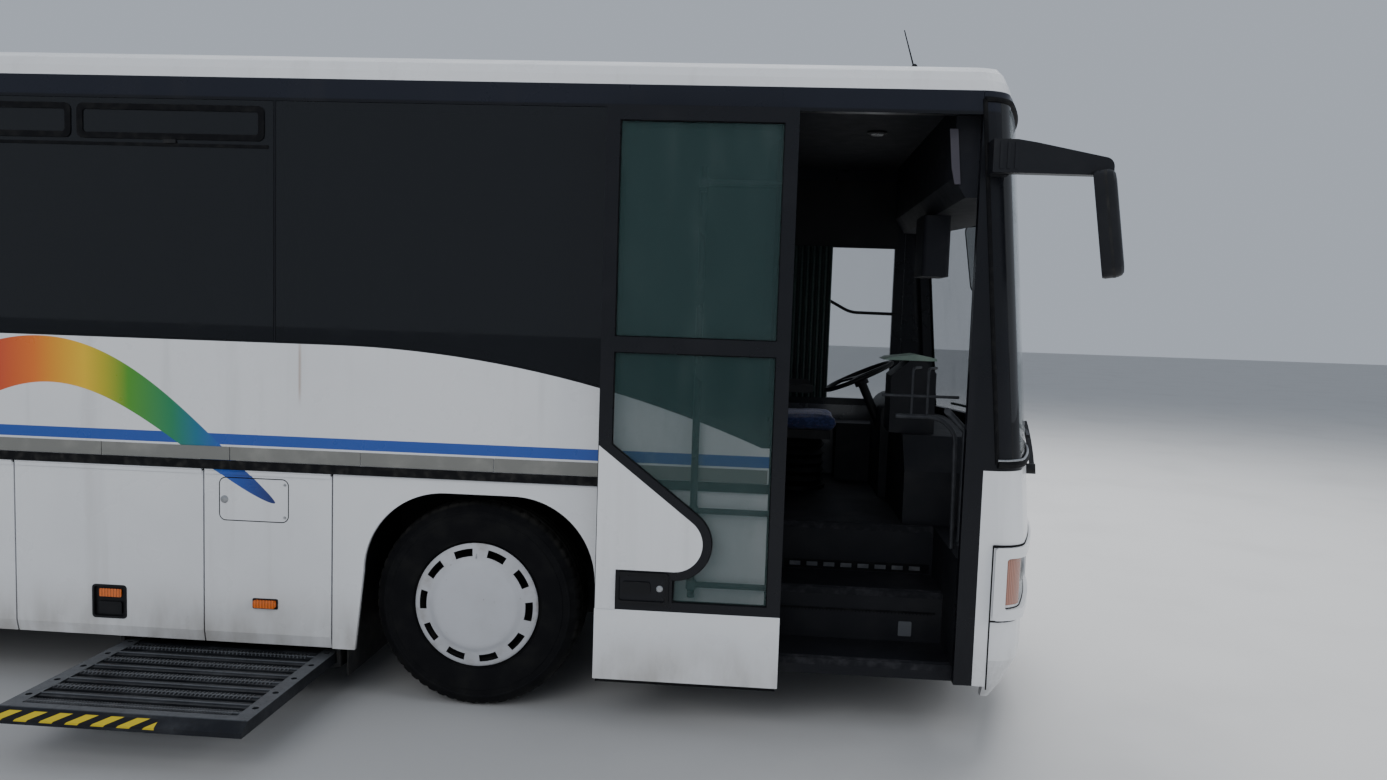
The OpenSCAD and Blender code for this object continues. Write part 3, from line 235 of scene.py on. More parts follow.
# Materials
class Finish:
    # A procedural material; what doesn't vary is set on the shader's own sockets
    sockets = dict(metallic="Metallic", coat="Coat Weight", coatRoughness="Coat Roughness",
                   specular="Specular IOR Level", sheen="Sheen Weight", sheenRoughness="Sheen Roughness")

    def __init__(self, name, colour, roughness, local=False, **more):
        self.material = bpy.data.materials.new(name)
        self.material.use_nodes = True
        tree = self.material.node_tree
        self.nodes, self.links = tree.nodes, tree.links
        self.shader = next(node for node in tree.nodes if node.type == "BSDF_PRINCIPLED")
        self.normal = None
        self.shader.inputs["Base Color"].default_value = (*colour, 1.0)
        self.shader.inputs["Roughness"].default_value = roughness
        for key, value in more.items():
            self.shader.inputs[self.sockets[key]].default_value = value
        where = self.nodes.new("ShaderNodeTexCoord").outputs["Object"]
        shift = (0, 0, 0) if local else (offsetX, offsetY, 0)
        self.where = self.vector("SUBTRACT", where, shift)
        split = self.nodes.new("ShaderNodeSeparateXYZ")
        self.links.new(self.where, split.inputs[0])
        self.x, self.y, self.z = split.outputs

    def fill(self, node, places, values):
        for place, value in zip(places, values):
            if isinstance(value, bpy.types.NodeSocket):
                self.links.new(value, node.inputs[place])
            else:
                node.inputs[place].default_value = value

    def maths(self, operation, *values):
        node = self.nodes.new("ShaderNodeMath")
        node.operation = operation
        self.fill(node, range(3), values)
        return node.outputs[0]

    def times(self, *values):
        return self.maths("MULTIPLY", *values)

    def plus(self, *values):
        return self.maths("ADD", *values)

    def minus(self, *values):
        return self.maths("SUBTRACT", *values)

    def vector(self, operation, *values):
        node = self.nodes.new("ShaderNodeVectorMath")
        node.operation = operation
        self.fill(node, range(3), values)
        return node.outputs[0]

    def ramp(self, value, low, high):
        node = self.nodes.new("ShaderNodeMapRange")
        node.interpolation_type = "SMOOTHSTEP"
        self.fill(node, range(3), (value, low, high))
        return node.outputs[0]

    def band(self, value, low, high, soft=0.0008):
        rise = self.ramp(value, low - soft, low + soft)
        fall = self.ramp(value, high + soft, high - soft)
        return self.times(rise, fall)

    def noise(self, scale, detail=4.0, stretch=(1, 1, 1)):
        node = self.nodes.new("ShaderNodeTexNoise")
        self.links.new(self.vector("MULTIPLY", self.where, stretch), node.inputs["Vector"])
        node.inputs["Scale"].default_value = scale
        node.inputs["Detail"].default_value = detail
        node.inputs["Roughness"].default_value = 0.55
        return node.outputs[0]

    def spots(self, low, high, scale, detail=4.0, stretch=(1, 1, 1)):
        # Patches of noise with soft edges
        return self.ramp(self.noise(scale, detail, stretch), low, high)

    def radius(self, x, z):
        return self.maths("SQRT", self.maths("MULTIPLY_ADD", x, x, self.times(z, z)))

    def cells(self, scale):
        node = self.nodes.new("ShaderNodeTexVoronoi")
        self.links.new(self.where, node.inputs["Vector"])
        node.inputs["Scale"].default_value = scale
        return node.outputs["Distance"]

    def mix(self, factor, a, b):
        node = self.nodes.new("ShaderNodeMix")
        node.data_type = "RGBA"
        widen = [(*value, 1.0) if isinstance(value, tuple) and len(value) == 3 else value for value in (a, b)]
        self.fill(node, (0, 6, 7), (factor, *widen))
        return node.outputs[2]

    def blend(self, factor, a, b):
        node = self.nodes.new("ShaderNodeMix")
        self.fill(node, (0, 2, 3), (factor, a, b))
        return node.outputs[0]

    def stops(self, value, table):
        node = self.nodes.new("ShaderNodeValToRGB")
        node.color_ramp.elements[1].position = table[-1][0]
        node.color_ramp.elements[1].color = (*table[-1][1], 1.0)
        node.color_ramp.elements[0].position = table[0][0]
        node.color_ramp.elements[0].color = (*table[0][1], 1.0)
        for place, colour in table[1:-1]:
            node.color_ramp.elements.new(place).color = (*colour, 1.0)
        self.links.new(value, node.inputs[0])
        return node.outputs[0]

    def feed(self, socket, value):
        self.links.new(value, self.shader.inputs[socket])
        return self

    def tint(self, colour):
        return self.feed("Base Color", colour)

    def gloss(self, scale, low, high):
        # Roughness that changes in soft patches
        return self.feed("Roughness", self.blend(self.spots(0.35, 0.75, scale, 5), low, high))

    def bump(self, height, depth, strength=1.0):
        node = self.nodes.new("ShaderNodeBump")
        node.inputs["Strength"].default_value = strength
        node.inputs["Distance"].default_value = depth
        self.links.new(height, node.inputs["Height"])
        if self.normal:
            self.links.new(self.normal, node.inputs["Normal"])
        self.normal = node.outputs[0]
        return self.feed("Normal", self.normal)

    def grime(self, colour, dirt, low, high, amount, scale=6.0):
        # Road dirt that thins out from low to high
        spray = self.ramp(self.z, high, low)
        patch = self.spots(0.3, 0.75, scale, 6, (1, 1, 0.35))
        factor = self.times(self.times(spray, self.plus(patch, 0.25)), amount)
        return self.mix(factor, colour, dirt)

    def wear(self, scale, colour, paler, low=0.45, high=0.75, amount=1.0):
        return self.mix(self.times(self.spots(low, high, scale, 6), amount), colour, paler)


paintLook = dict(
    # inside: grey colour of the inner faces, darkened to near black with painted shade
    white=(0.76, 0.77, 0.785), shade=(0.62, 0.63, 0.65), inside=(0.05, 0.052, 0.058),
    stripe=(0.016, 0.075, 0.36), stripeZ=(1.257, 1.31), stripeEnd=1.9,
    dirt=(0.26, 0.235, 0.2), sideDirt=(0.26, 0.62, 0.55), shellDirt=(0.2, 0.62, 0.6),
    leafDirt=(0.24, 0.55, 0.5), sootZ=(3.06, 3.2), soot=0.22, rust=(0.3, 0.15, 0.06), rustX=-0.86,
    rustHalf=0.006, rustZ=(1.5, 1.757),
    leafBlack=(0.006, 0.0065, 0.009), leafDust=(0.014, 0.014, 0.016), leafSkirtZ=0.586, streaks=(1, 1, 0.06),
    ribbonFront=-0.98, ribbonLength=3.7, ribbonZ=1.22, ribbonSwing=0.42, ribbonTurns=1.1, ribbonStart=-0.6,
    ribbonHalf=0.125,
    ribbonColours=[(0.0, (0.008, 0.02, 0.13)), (0.07, (0.012, 0.08, 0.42)), (0.14, (0.01, 0.22, 0.09)),
                   (0.2, (0.08, 0.3, 0.02)), (0.26, (0.8, 0.5, 0.02)), (0.33, (0.75, 0.17, 0.02)),
                   (0.4, (0.52, 0.035, 0.03)), (0.62, (0.4, 0.02, 0.03)), (0.75, (0.75, 0.17, 0.02)),
                   (0.88, (0.8, 0.5, 0.02)), (1.0, (0.08, 0.3, 0.02))],
)


def paintSide():
    # White side paint with the blue stripe, a wave of changing colours and road dirt; inside, a dark grey
    # trim colour with painted shade making it near black
    look = paintLook
    f = Finish("sidePaint", look["white"], 0.3, coat=0.35, coatRoughness=0.08)
    outer = f.ramp(f.maths("ABSOLUTE", f.y), bus["halfWidth"] - 0.02, bus["halfWidth"] - 0.016)
    colour = f.wear(1.6, look["white"], look["shade"], 0.4, 0.8, 0.35)
    streaks = f.spots(0.52, 0.78, 9, 5, look["streaks"])
    colour = f.mix(f.times(streaks, 0.16), colour, look["dirt"])
    stripe = f.times(f.band(f.z, *look["stripeZ"]), f.ramp(f.x, look["stripeEnd"], look["stripeEnd"] - 0.002))
    colour = f.mix(stripe, colour, look["stripe"])
    u = f.maths("DIVIDE", f.minus(look["ribbonFront"], f.x), look["ribbonLength"])
    phase = f.maths("MULTIPLY_ADD", u, 2 * pi * look["ribbonTurns"], look["ribbonStart"])
    centre = f.maths("MULTIPLY_ADD", f.maths("SINE", phase), look["ribbonSwing"], look["ribbonZ"])
    steep = look["ribbonSwing"] * 2 * pi * look["ribbonTurns"] / look["ribbonLength"]
    slope = f.times(f.maths("COSINE", phase), steep)
    stretch = f.maths("SQRT", f.maths("MULTIPLY_ADD", slope, slope, 1.0))
    away = f.maths("DIVIDE", f.maths("ABSOLUTE", f.minus(f.z, centre)), stretch)
    along = f.maths("MINIMUM", f.maths("MAXIMUM", u, 0.0), 1.0)
    swell = f.maths("POWER", f.maths("SINE", f.times(along, pi)), 0.55)
    half = f.times(swell, look["ribbonHalf"])
    ribbon = f.ramp(f.minus(half, away), 0.0, 0.0016)
    colour = f.mix(ribbon, colour, f.stops(u, look["ribbonColours"]))
    colour = f.grime(colour, look["dirt"], *look["sideDirt"])
    across = f.band(f.x, *around(look["rustX"], look["rustHalf"]), look["rustHalf"])
    seep = f.times(across, f.band(f.z, *look["rustZ"], 0.06))
    colour = f.mix(f.times(seep, 0.5), colour, look["rust"])
    # Inner faces take the inside colour: grey trim plus painted shade
    f.tint(f.mix(outer, look["inside"], colour))
    f.gloss(3, 0.26, 0.42)
    f.bump(f.noise(1.1, 2), 0.004, 0.35)
    f.bump(f.noise(900, 2), 0.00004, 0.4)
    return f


def paintShell():
    # The same white on the roof, the front, the rear and the bumpers
    look = paintLook
    f = Finish("shellPaint", look["white"], 0.3, coat=0.35, coatRoughness=0.08)
    colour = f.wear(1.3, look["white"], look["shade"], 0.4, 0.8, 0.35)
    colour = f.mix(f.times(f.spots(0.52, 0.8, 9, 5, look["streaks"]), 0.14), colour, look["dirt"])
    soot = f.times(f.ramp(f.z, *look["sootZ"]), f.times(f.spots(0.35, 0.75, 2.2, 6), look["soot"]))
    f.tint(f.grime(f.mix(soot, colour, look["dirt"]), look["dirt"], *look["shellDirt"]))
    f.gloss(3, 0.26, 0.44)
    f.bump(f.noise(1.1, 2), 0.004, 0.3)
    f.bump(f.noise(900, 2), 0.00004, 0.4)
    return f


def paintLeaf():
    # Door leaf: gloss black frame over a white skirt
    look = paintLook
    f = Finish("leafPaint", look["leafBlack"], 0.3, specular=0.32)
    skirt = f.ramp(f.z, look["leafSkirtZ"] + 0.0005, look["leafSkirtZ"] - 0.0005)
    white = f.grime(f.wear(2.0, look["white"], look["shade"], 0.4, 0.8, 0.3), look["dirt"], *look["leafDirt"])
    dust = f.wear(5, look["leafBlack"], look["leafDust"], 0.45, 0.85, 0.5)
    f.tint(f.mix(skirt, dust, white))
    f.gloss(5, 0.26, 0.4)
    f.bump(f.noise(700, 2), 0.00004, 0.3)
    return f


frameLook = dict(black=(0.005, 0.0055, 0.008), upper=(0.01, 0.012, 0.02), upperZ=(2.905, 2.915),
                 dust=(0.022, 0.022, 0.024))


def glossBlack():
    # The dark side frames, a little bluer above the panes
    look = frameLook
    f = Finish("frameGlossBlack", (0.006, 0.007, 0.01), 0.3, specular=0.3)
    base = f.mix(f.ramp(f.z, *look["upperZ"]), look["black"], look["upper"])
    f.tint(f.mix(f.times(f.spots(0.5, 0.85, 5, 6, (1, 1, 0.2)), 0.4), base, look["dust"]))
    f.gloss(4, 0.26, 0.42)
    f.bump(f.noise(500, 2), 0.00004, 0.3)
    return f


def darkMetal(name, colour, paler, roughness=0.5, metallic=0.0, scale=20):
    f = Finish(name, colour, roughness, metallic=metallic, specular=0.35)
    body = f.wear(scale, colour, paler, 0.42, 0.75)
    rusty = f.spots(0.62, 0.74, scale * 1.7, 7)
    f.tint(f.mix(f.times(rusty, 0.25), body, (0.05, 0.034, 0.024)))
    f.feed("Roughness", f.blend(f.noise(scale * 2, 5), roughness - 0.12, roughness + 0.2))
    f.bump(f.noise(260, 4), 0.0004, 0.5)
    return f


def plastic(name, colour, paler, roughness=0.5, grain=420, depth=0.00018, coat=0.0):
    f = Finish(name, colour, roughness, coat=coat, coatRoughness=0.15, specular=0.35)
    f.tint(f.wear(6, colour, paler, 0.45, 0.85))
    f.feed("Roughness", f.blend(f.noise(13, 5), roughness - 0.08, roughness + 0.14))
    f.bump(f.cells(grain), depth, 0.6)
    return f


def rubber(name, colour=(0.004, 0.004, 0.005), dusty=(0.012, 0.012, 0.012)):
    f = Finish(name, colour, 0.75, specular=0.2)
    f.tint(f.wear(24, colour, dusty, 0.42, 0.75))
    f.bump(f.noise(600, 3), 0.0002, 0.6)
    return f


glassLook = dict(tinted=(0.006, 0.007, 0.009), tintedAlpha=0.915, clear=(0.12, 0.17, 0.16), clearAlpha=0.16,
                 clearX=(1.42, 1.43), film=(0.3, 0.33, 0.32), border=(0.008, 0.008, 0.009),
                 screenBorder=dict(low=1.365, high=2.93, side=1.2))


def sideGlass():
    # Dark tinted panes; the driver's own window on the left is nearly clear
    look = glassLook
    f = Finish("sideGlass", look["tinted"], 0.03, specular=0.42)
    clear = f.times(f.ramp(f.x, *look["clearX"]), f.ramp(f.y, 0.0, 0.01))
    f.tint(f.mix(clear, look["tinted"], look["clear"]))
    film = f.spots(0.45, 0.85, 7, 6, (1, 1, 0.3))
    tinted = f.maths("MULTIPLY_ADD", film, 0.03, look["tintedAlpha"])
    f.feed("Alpha", f.blend(clear, tinted, look["clearAlpha"]))
    f.feed("Roughness", f.maths("MULTIPLY_ADD", film, 0.07, 0.02))
    return f


def clearGlass(name, colour, alpha, border=None):
    f = Finish(name, colour, 0.03, specular=0.5)
    film = f.spots(0.45, 0.85, 8, 6, (1, 1, 0.25))
    clearness = f.maths("MULTIPLY_ADD", film, 0.05, alpha)
    if border:
        below = f.ramp(f.z, border["low"] + 0.004, border["low"] - 0.004)
        above = f.ramp(f.z, *around(border["high"], 0.004))
        beside = f.ramp(f.maths("ABSOLUTE", f.y), *around(border["side"], 0.004))
        edge = f.maths("MAXIMUM", f.maths("MAXIMUM", below, above), beside)
        f.tint(f.mix(edge, colour, glassLook["border"]))
        clearness = f.maths("MAXIMUM", clearness, edge)
    else:
        f.tint(f.mix(f.times(film, 0.12), colour, glassLook["film"]))
    f.feed("Alpha", clearness)
    f.feed("Roughness", f.maths("MULTIPLY_ADD", film, 0.03, 0.02))
    return f


def wheelWhite():
    # Painted rims and cover with brown grime round the slots and the edge, in each wheel's own place
    f = Finish("rimPaint", (0.6, 0.6, 0.6), 0.42, coat=0.1, coatRoughness=0.2)
    rear = f.ramp(f.x, *around(bus["rearAxle"] / 2, 0.01))
    x = f.plus(f.x, f.blend(rear, -bus["rearAxle"], 0.0))
    radius = f.radius(x, f.minus(f.z, bus["wheelZ"]))
    dirt = f.times(f.ramp(radius, 0.19, 0.31), f.plus(f.spots(0.45, 0.8, 14, 7), 0.12))
    base = f.wear(4, (0.52, 0.53, 0.56), (0.46, 0.47, 0.49), 0.4, 0.8)
    chips = f.times(f.spots(0.71, 0.74, 60, 3), 0.6)
    base = f.mix(chips, base, (0.24, 0.23, 0.22))
    f.tint(f.mix(f.times(dirt, 0.6), base, (0.25, 0.22, 0.18)))
    f.feed("Roughness", f.blend(dirt, 0.36, 0.7))
    f.bump(f.noise(160, 4), 0.0004, 0.4)
    return f


def tyreRubber():
    f = Finish("tyreRubber", (0.006, 0.006, 0.007), 0.8, local=True, specular=0.18)
    tread = f.ramp(f.radius(f.x, f.z), 0.485, 0.5)
    dusty = f.mix(f.spots(0.4, 0.8, 9, 6), (0.005, 0.005, 0.006), (0.011, 0.011, 0.011))
    worn = f.mix(f.spots(0.35, 0.75, 12, 6), (0.009, 0.009, 0.009), (0.026, 0.025, 0.023))
    f.tint(f.mix(tread, dusty, worn))
    f.bump(f.noise(420, 4), 0.0003, 0.6)
    return f


# ridge: height of the pale band on the plank tops, worn metal plus painted highlight
platformLook = dict(ridge=0.004, bands=9.0, black=(0.008, 0.008, 0.009), yellow=(0.62, 0.47, 0.02),
                    bandX=-1.07, bandY=0.053, bandZ=0.013, slopeFoot=(0.022, 0.024), slopeShare=0.62)


def platformMetal():
    # Bare worn metal, its ridge tops painted paler as rubbed metal with a painted highlight, with black and
    # yellow slanting bands on the outer edge away from its right end
    look = platformLook
    f = Finish("platformMetal", (0.05, 0.052, 0.058), 0.42, metallic=0.6, specular=0.3)
    low, high = nodeBox("lift_platform")
    worn = f.wear(7, (0.02, 0.022, 0.027), (0.055, 0.058, 0.065), 0.4, 0.8)
    # Top of the planks painted pale grey: rubbed metal plus a painted highlight on the ridges
    ridge = f.ramp(f.z, high.z - look["ridge"], high.z)
    worn = f.mix(f.times(ridge, 0.55), worn, (0.2, 0.21, 0.225))
    grit = f.mix(f.times(f.spots(0.55, 0.75, 60, 7), 0.5), worn, (0.03, 0.027, 0.024))
    slant = f.maths("FRACT", f.times(f.minus(f.minus(f.x, f.y), f.z), look["bands"]))
    yellow = f.ramp(f.maths("ABSOLUTE", f.minus(slant, 0.5)), 0.26, 0.24)
    hazard = f.mix(yellow, look["black"], look["yellow"])
    foot, start = look["slopeFoot"]
    slopeTop = low.z + start + look["slopeShare"] * (high.z - low.z - foot)
    edge = f.band(f.z, low.z + look["bandZ"], slopeTop, 0.001)
    edge = f.times(edge, f.ramp(f.x, look["bandX"], look["bandX"] - 0.002))
    edge = f.times(edge, f.ramp(f.y, low.y + look["bandY"] + 0.001, low.y + look["bandY"] - 0.001))
    outer = f.times(edge, f.spots(0.2, 0.34, 40, 6))
    f.tint(f.mix(outer, grit, hazard))
    f.feed("Metallic", f.blend(edge, 0.6, 0.0))
    f.feed("Roughness", f.blend(f.noise(30, 5), 0.3, 0.62))
    f.bump(f.noise(240, 4), 0.0004, 0.5)
    return f


def seatCloth(name, dark, pale, fleck):
    f = Finish(name, dark, 0.9, sheen=0.35, sheenRoughness=0.5)
    weave = f.times(f.maths("SINE", f.times(f.x, 2600.0)), f.maths("SINE", f.times(f.y, 2600.0)))
    pattern = f.mix(f.spots(0.5, 0.56, 40, 2, (1, 1, 2)), dark, pale)
    f.tint(f.mix(f.ramp(f.cells(70), 0.12, 0.1), pattern, fleck))
    f.bump(weave, 0.0004, 0.5)
    f.bump(f.noise(300, 4), 0.0006, 0.5)
    return f


def floorVinyl():
    f = Finish("floorVinyl", (0.01, 0.0105, 0.013), 0.6, specular=0.25)
    speck = f.ramp(f.cells(260), 0.16, 0.1)
    worn = f.wear(3, (0.008, 0.0085, 0.011), (0.018, 0.018, 0.02), 0.4, 0.85)
    f.tint(f.mix(f.times(speck, 0.5), worn, (0.06, 0.06, 0.065)))
    f.feed("Roughness", f.blend(f.noise(4, 5), 0.45, 0.75))
    f.bump(f.cells(220), 0.0004, 0.5)
    return f


def lampLens(name, colour, rough=0.12):
    f = Finish(name, colour, rough, coat=0.6, coatRoughness=0.05)
    ribs = f.maths("SINE", f.times(f.plus(f.y, f.x), 420.0))
    deep = tuple(c * 0.55 for c in colour)
    f.tint(f.mix(f.ramp(ribs, -0.2, 0.9), colour, deep))
    f.bump(ribs, 0.0012, 0.6)
    return f


sidePaint, shellPaint, leafPaint, frameBlack = paintSide(), paintShell(), paintLeaf(), glossBlack()
chassisGrey = darkMetal("chassisPaint", (0.012, 0.012, 0.013), (0.03, 0.029, 0.027), 0.6)
sideGlassFinish = sideGlass()
doorGlass = clearGlass("doorGlass", (0.03, 0.075, 0.072), 0.33)
screenGlass = clearGlass("screenGlass", (0.07, 0.1, 0.095), 0.3, glassLook["screenBorder"])
vinyl = floorVinyl()
# Dark dashboard plastic, made darker still as painted shade
dashPlastic = plastic("dashPlastic", (0.008, 0.0085, 0.011), (0.018, 0.018, 0.02), 0.55)
trimPlastic = plastic("trimPlastic", (0.006, 0.006, 0.007), (0.014, 0.014, 0.015), 0.5)
mirrorPlastic = plastic("mirrorPlastic", (0.008, 0.0085, 0.011), (0.016, 0.016, 0.018), 0.42)
railRubber = rubber("railRubber", (0.007, 0.007, 0.008), (0.03, 0.029, 0.027))
sealRubber = rubber("sealRubber")
# Grey interior plastic, its colour darkened to near black as painted shade
shadedLining = plastic("liningPlastic", (0.016, 0.017, 0.022), (0.026, 0.027, 0.032), 0.7, 300)
tubeGrey = darkMetal("tubePaint", (0.035, 0.037, 0.042), (0.06, 0.062, 0.068), 0.42, 0.4)
rimPaint, tyreBlack, platform = wheelWhite(), tyreRubber(), platformMetal()
busCloth = seatCloth("seatCloth", (0.02, 0.03, 0.085), (0.035, 0.05, 0.15), (0.3, 0.08, 0.05))
beigeTrim = plastic("beigeTrim", (0.2, 0.2, 0.185), (0.3, 0.295, 0.27), 0.45, 200)
brightMetal = darkMetal("brightMetal", (0.42, 0.43, 0.44), (0.6, 0.6, 0.6), 0.28, 0.9, 40)
brightSteel = darkMetal("brightSteel", (0.12, 0.125, 0.135), (0.22, 0.225, 0.235), 0.38, 0.7, 14)
orangeLens = lampLens("orangeLens", (0.8, 0.17, 0.02))
turnLens = lampLens("turnLens", (0.4, 0.17, 0.115))
redLens = lampLens("redLens", (0.5, 0.015, 0.015))
lensBands = redLens.mix(redLens.band(redLens.z, 0.9, 1.0), (0.42, 0.012, 0.012), (0.75, 0.2, 0.02))
redLens.tint(redLens.mix(redLens.band(redLens.z, 0.8, 0.89), lensBands, (0.6, 0.6, 0.6)))
whiteLens = lampLens("whiteLens", (0.6, 0.6, 0.6))
farePlastic = plastic("farePlastic", (0.14, 0.2, 0.17), (0.22, 0.28, 0.24), 0.5)

# The finish of each CAD node; flaps have the side's paint
finishNodes = (
    (chassisGrey, "underframe wheel_housings engine_block front_axle rear_axle lift_cassette"),
    (chassisGrey, "knuckle_left knuckle_right"),
    (shellPaint, "roof roof_fittings front_mask front_bumper rear_wall rear_bumper engine_lid"),
    (sidePaint, "lower_panels belt_panels"), (frameBlack, "frame_right frame_left windscreen_frame"),
    (leafPaint, "door_front_leaf door_mid_leaf"), (doorGlass, "door_front_glass"),
    (screenGlass, "windscreen"),
    (sideGlassFinish, "windows door_mid_glass"), (vinyl, "floor_deck entry_steps"),
    (shadedLining, "overhead_racks"),
    (tubeGrey, "handrails door_front_arm door_mid_arm"), (busCloth, "driver_seat passenger_seats"),
    (trimPlastic, "wipers steering_wheel"), (dashPlastic, "dashboard"), (mirrorPlastic, "mirrors"),
    (railRubber, "rub_rails"), (whiteLens, "front_lamps"), (redLens, "rear_lamps"),
    (platform, "lift_platform"),
)
nodeFinish = {name: finish for finish, names in finishNodes for name in names.split()}
for name, node in nodes.items():
    other = rimPaint if name.startswith("rim") else tyreBlack if name.startswith("tyre") else sidePaint
    node.data.materials.clear()
    node.data.materials.append(nodeFinish.get(name, other).material)
print("stage: materials")

# Camera, fitted to the photograph
# Angles in degrees; focal and wide share one unit, and sensor is in millimetres
view = dict(x=1.3698, y=-6.0156, z=1.9822, yaw=-4.0929, pitch=-4.4825, roll=1.9011, focal=1024.3, wide=1387,
            sensor=36)
yaw, pitch, roll = (radians(view[key]) for key in ("yaw", "pitch", "roll"))
ahead = Vector((sin(yaw) * cos(pitch), cos(yaw) * cos(pitch), sin(pitch)))
right = Vector((cos(yaw), -sin(yaw), 0))
up = right.cross(ahead)
right, up = right * cos(roll) + up * sin(roll), up * cos(roll) - right * sin(roll)
camera = bpy.data.objects.new("camera", bpy.data.cameras.new("camera"))
camera.data.sensor_width = view["sensor"]
camera.data.lens = view["focal"] / view["wide"] * view["sensor"]
camera.data.clip_end = 200
turn = Matrix((right, up, -ahead)).transposed().to_4x4()
camera.matrix_world = Matrix.Translation(at(view["x"], view["y"], view["z"])) @ turn
bpy.context.scene.collection.objects.link(camera)
bpy.context.scene.camera = camera

# Studio: pale floor, pale surroundings and large soft lights
studio = dict(floorHalf=60, sky=(0.8, 0.88, 1.0), skyStrength=0.52, floorColour=(0.5, 0.5, 0.5),
              floorDark=(0.465, 0.465, 0.465))
ground = Shape()
half = studio["floorHalf"]
ground.solid([(-half, -half, 0), (half, -half, 0), (half, half, 0), (-half, half, 0)], [[0, 1, 2, 3]])
groundFinish = Finish("studioFloor", studio["floorColour"], 0.7)
groundFinish.tint(groundFinish.wear(0.8, studio["floorColour"], studio["floorDark"]))
groundFinish.bump(groundFinish.noise(90, 4), 0.0006, 0.3)
groundMesh = bpy.data.meshes.new("studioFloor")
ground.mesh.to_mesh(groundMesh)
ground.mesh.free()
groundMesh.materials.append(groundFinish.material)
groundPiece = bpy.data.objects.new("studioFloor", groundMesh)
bpy.context.scene.collection.objects.link(groundPiece)

world = bpy.data.worlds.new("studio")
bpy.context.scene.world = world
world.use_nodes = True
world.node_tree.nodes["Background"].inputs["Color"].default_value = (*studio["sky"], 1)
world.node_tree.nodes["Background"].inputs["Strength"].default_value = studio["skyStrength"]

# Name, place, target, size in metres and power in watts
lights = [("keyLight", (3, 6, 11), (1.5, 0, 0), 10, 2300), ("sideLight", (-3, -13, 8), (0, 0, 1), 9, 620),
          ("frontLight", (12, -5, 6), (2, 0, 1), 6, 420)]
for name, place, target, size, power in lights:
    lamp = bpy.data.lights.new(name, "AREA")
    lamp.size, lamp.energy = size, power
    light = bpy.data.objects.new(name, lamp)
    light.visible_glossy = False  # keeps the lamps' square outlines out of the window panes
    light.location = at(*place)
    light.rotation_euler = (at(*target) - light.location).to_track_quat("-Z", "Y").to_euler()
    bpy.context.scene.collection.objects.link(light)
print("stage: camera and studio")

# Tyres: a turned section with grooves in the tread and cuts in its shoulders
tyreLook = dict(rim=0.288, radius=0.5115, half=0.149, crown=0.08, grooves=(-0.075, -0.027, 0.027, 0.075),
                groove=0.012, grooveHalf=0.005, draft=0.0015, steps=240, cutRows=(13, 16), cutEvery=4,
                cutDepth=0.006)


def tyreSection():
    look = tyreLook
    wall = [(look["rim"], 0.118), (0.3, 0.127), (0.312, 0.135), (0.318, 0.1435), (0.322, 0.141),
            (0.345, 0.1455), (0.395, look["half"]), (0.425, 0.1485), (0.428, 0.146),
            (0.452, 0.145), (0.456, 0.1475),
            (0.462, 0.1475), (0.466, 0.143), (0.488, 0.1365), (0.502, 0.122), (0.5075, 0.108)]
    tread = []
    for y in look["grooves"]:
        top = look["radius"] - look["crown"] * y * y
        bottom = look["grooveHalf"] - look["draft"]
        tread += [(top, y - look["grooveHalf"]), (top - look["groove"], y - bottom),
                  (top - look["groove"], y + bottom), (top, y + look["grooveHalf"])]
    return [(r, -y) for r, y in wall] + tread + [(r, y) for r, y in reversed(wall)]


def makeTyres(name, x, places, body, node):
    section = tyreSection()
    first, last = tyreLook["cutRows"]

    def cut(row, k):
        shoulder = first <= min(row, len(section) - 1 - row) <= last
        return -tyreLook["cutDepth"] if shoulder and k % tyreLook["cutEvery"] == 0 else 0

    shape = Shape()
    for y in places:
        shape.turned([(r, along + y) for r, along in section], (x, 0, bus["wheelZ"]), "y", tyreLook["steps"],
                     closed=True, wobble=cut)
    makePiece(name, shape, tyreBlack, body, [node], origin=(x, 0, bus["wheelZ"]))


twinLow, twinHigh = (corner.y for corner in nodeBox("tyres_rear_left"))
twins = around((twinLow + twinHigh) / 2, (twinHigh - twinLow) / 2 - tyreLook["half"])
for side, word in bothSides:
    makeTyres("tyreFront" + word.title(), 0, [side * bus["frontWheelY"]], "front_wheel_" + word,
              "tyre_front_" + word)
    makeTyres("tyresRear" + word.title(), bus["rearAxle"], [side * y for y in twins], "rear_wheels_" + word,
              "tyres_rear_" + word)
print("stage: tyres")

# Wheel fittings: nuts with their bolts on each rear wheel, valves in the front covers
wheelLook = dict(nuts=10, nutRing=0.1675, nutRadius=0.016, nutLength=0.03, nutBack=0.045, face=0.135,
                 bolt=[(0, 0), (0.009, 0), (0.009, 0.02), (0, 0.02)],
                 valveOut=0.142, valve=((0.0, 0.262), (0.012, 0.255), (0.02, 0.235)), valveRadius=0.004)


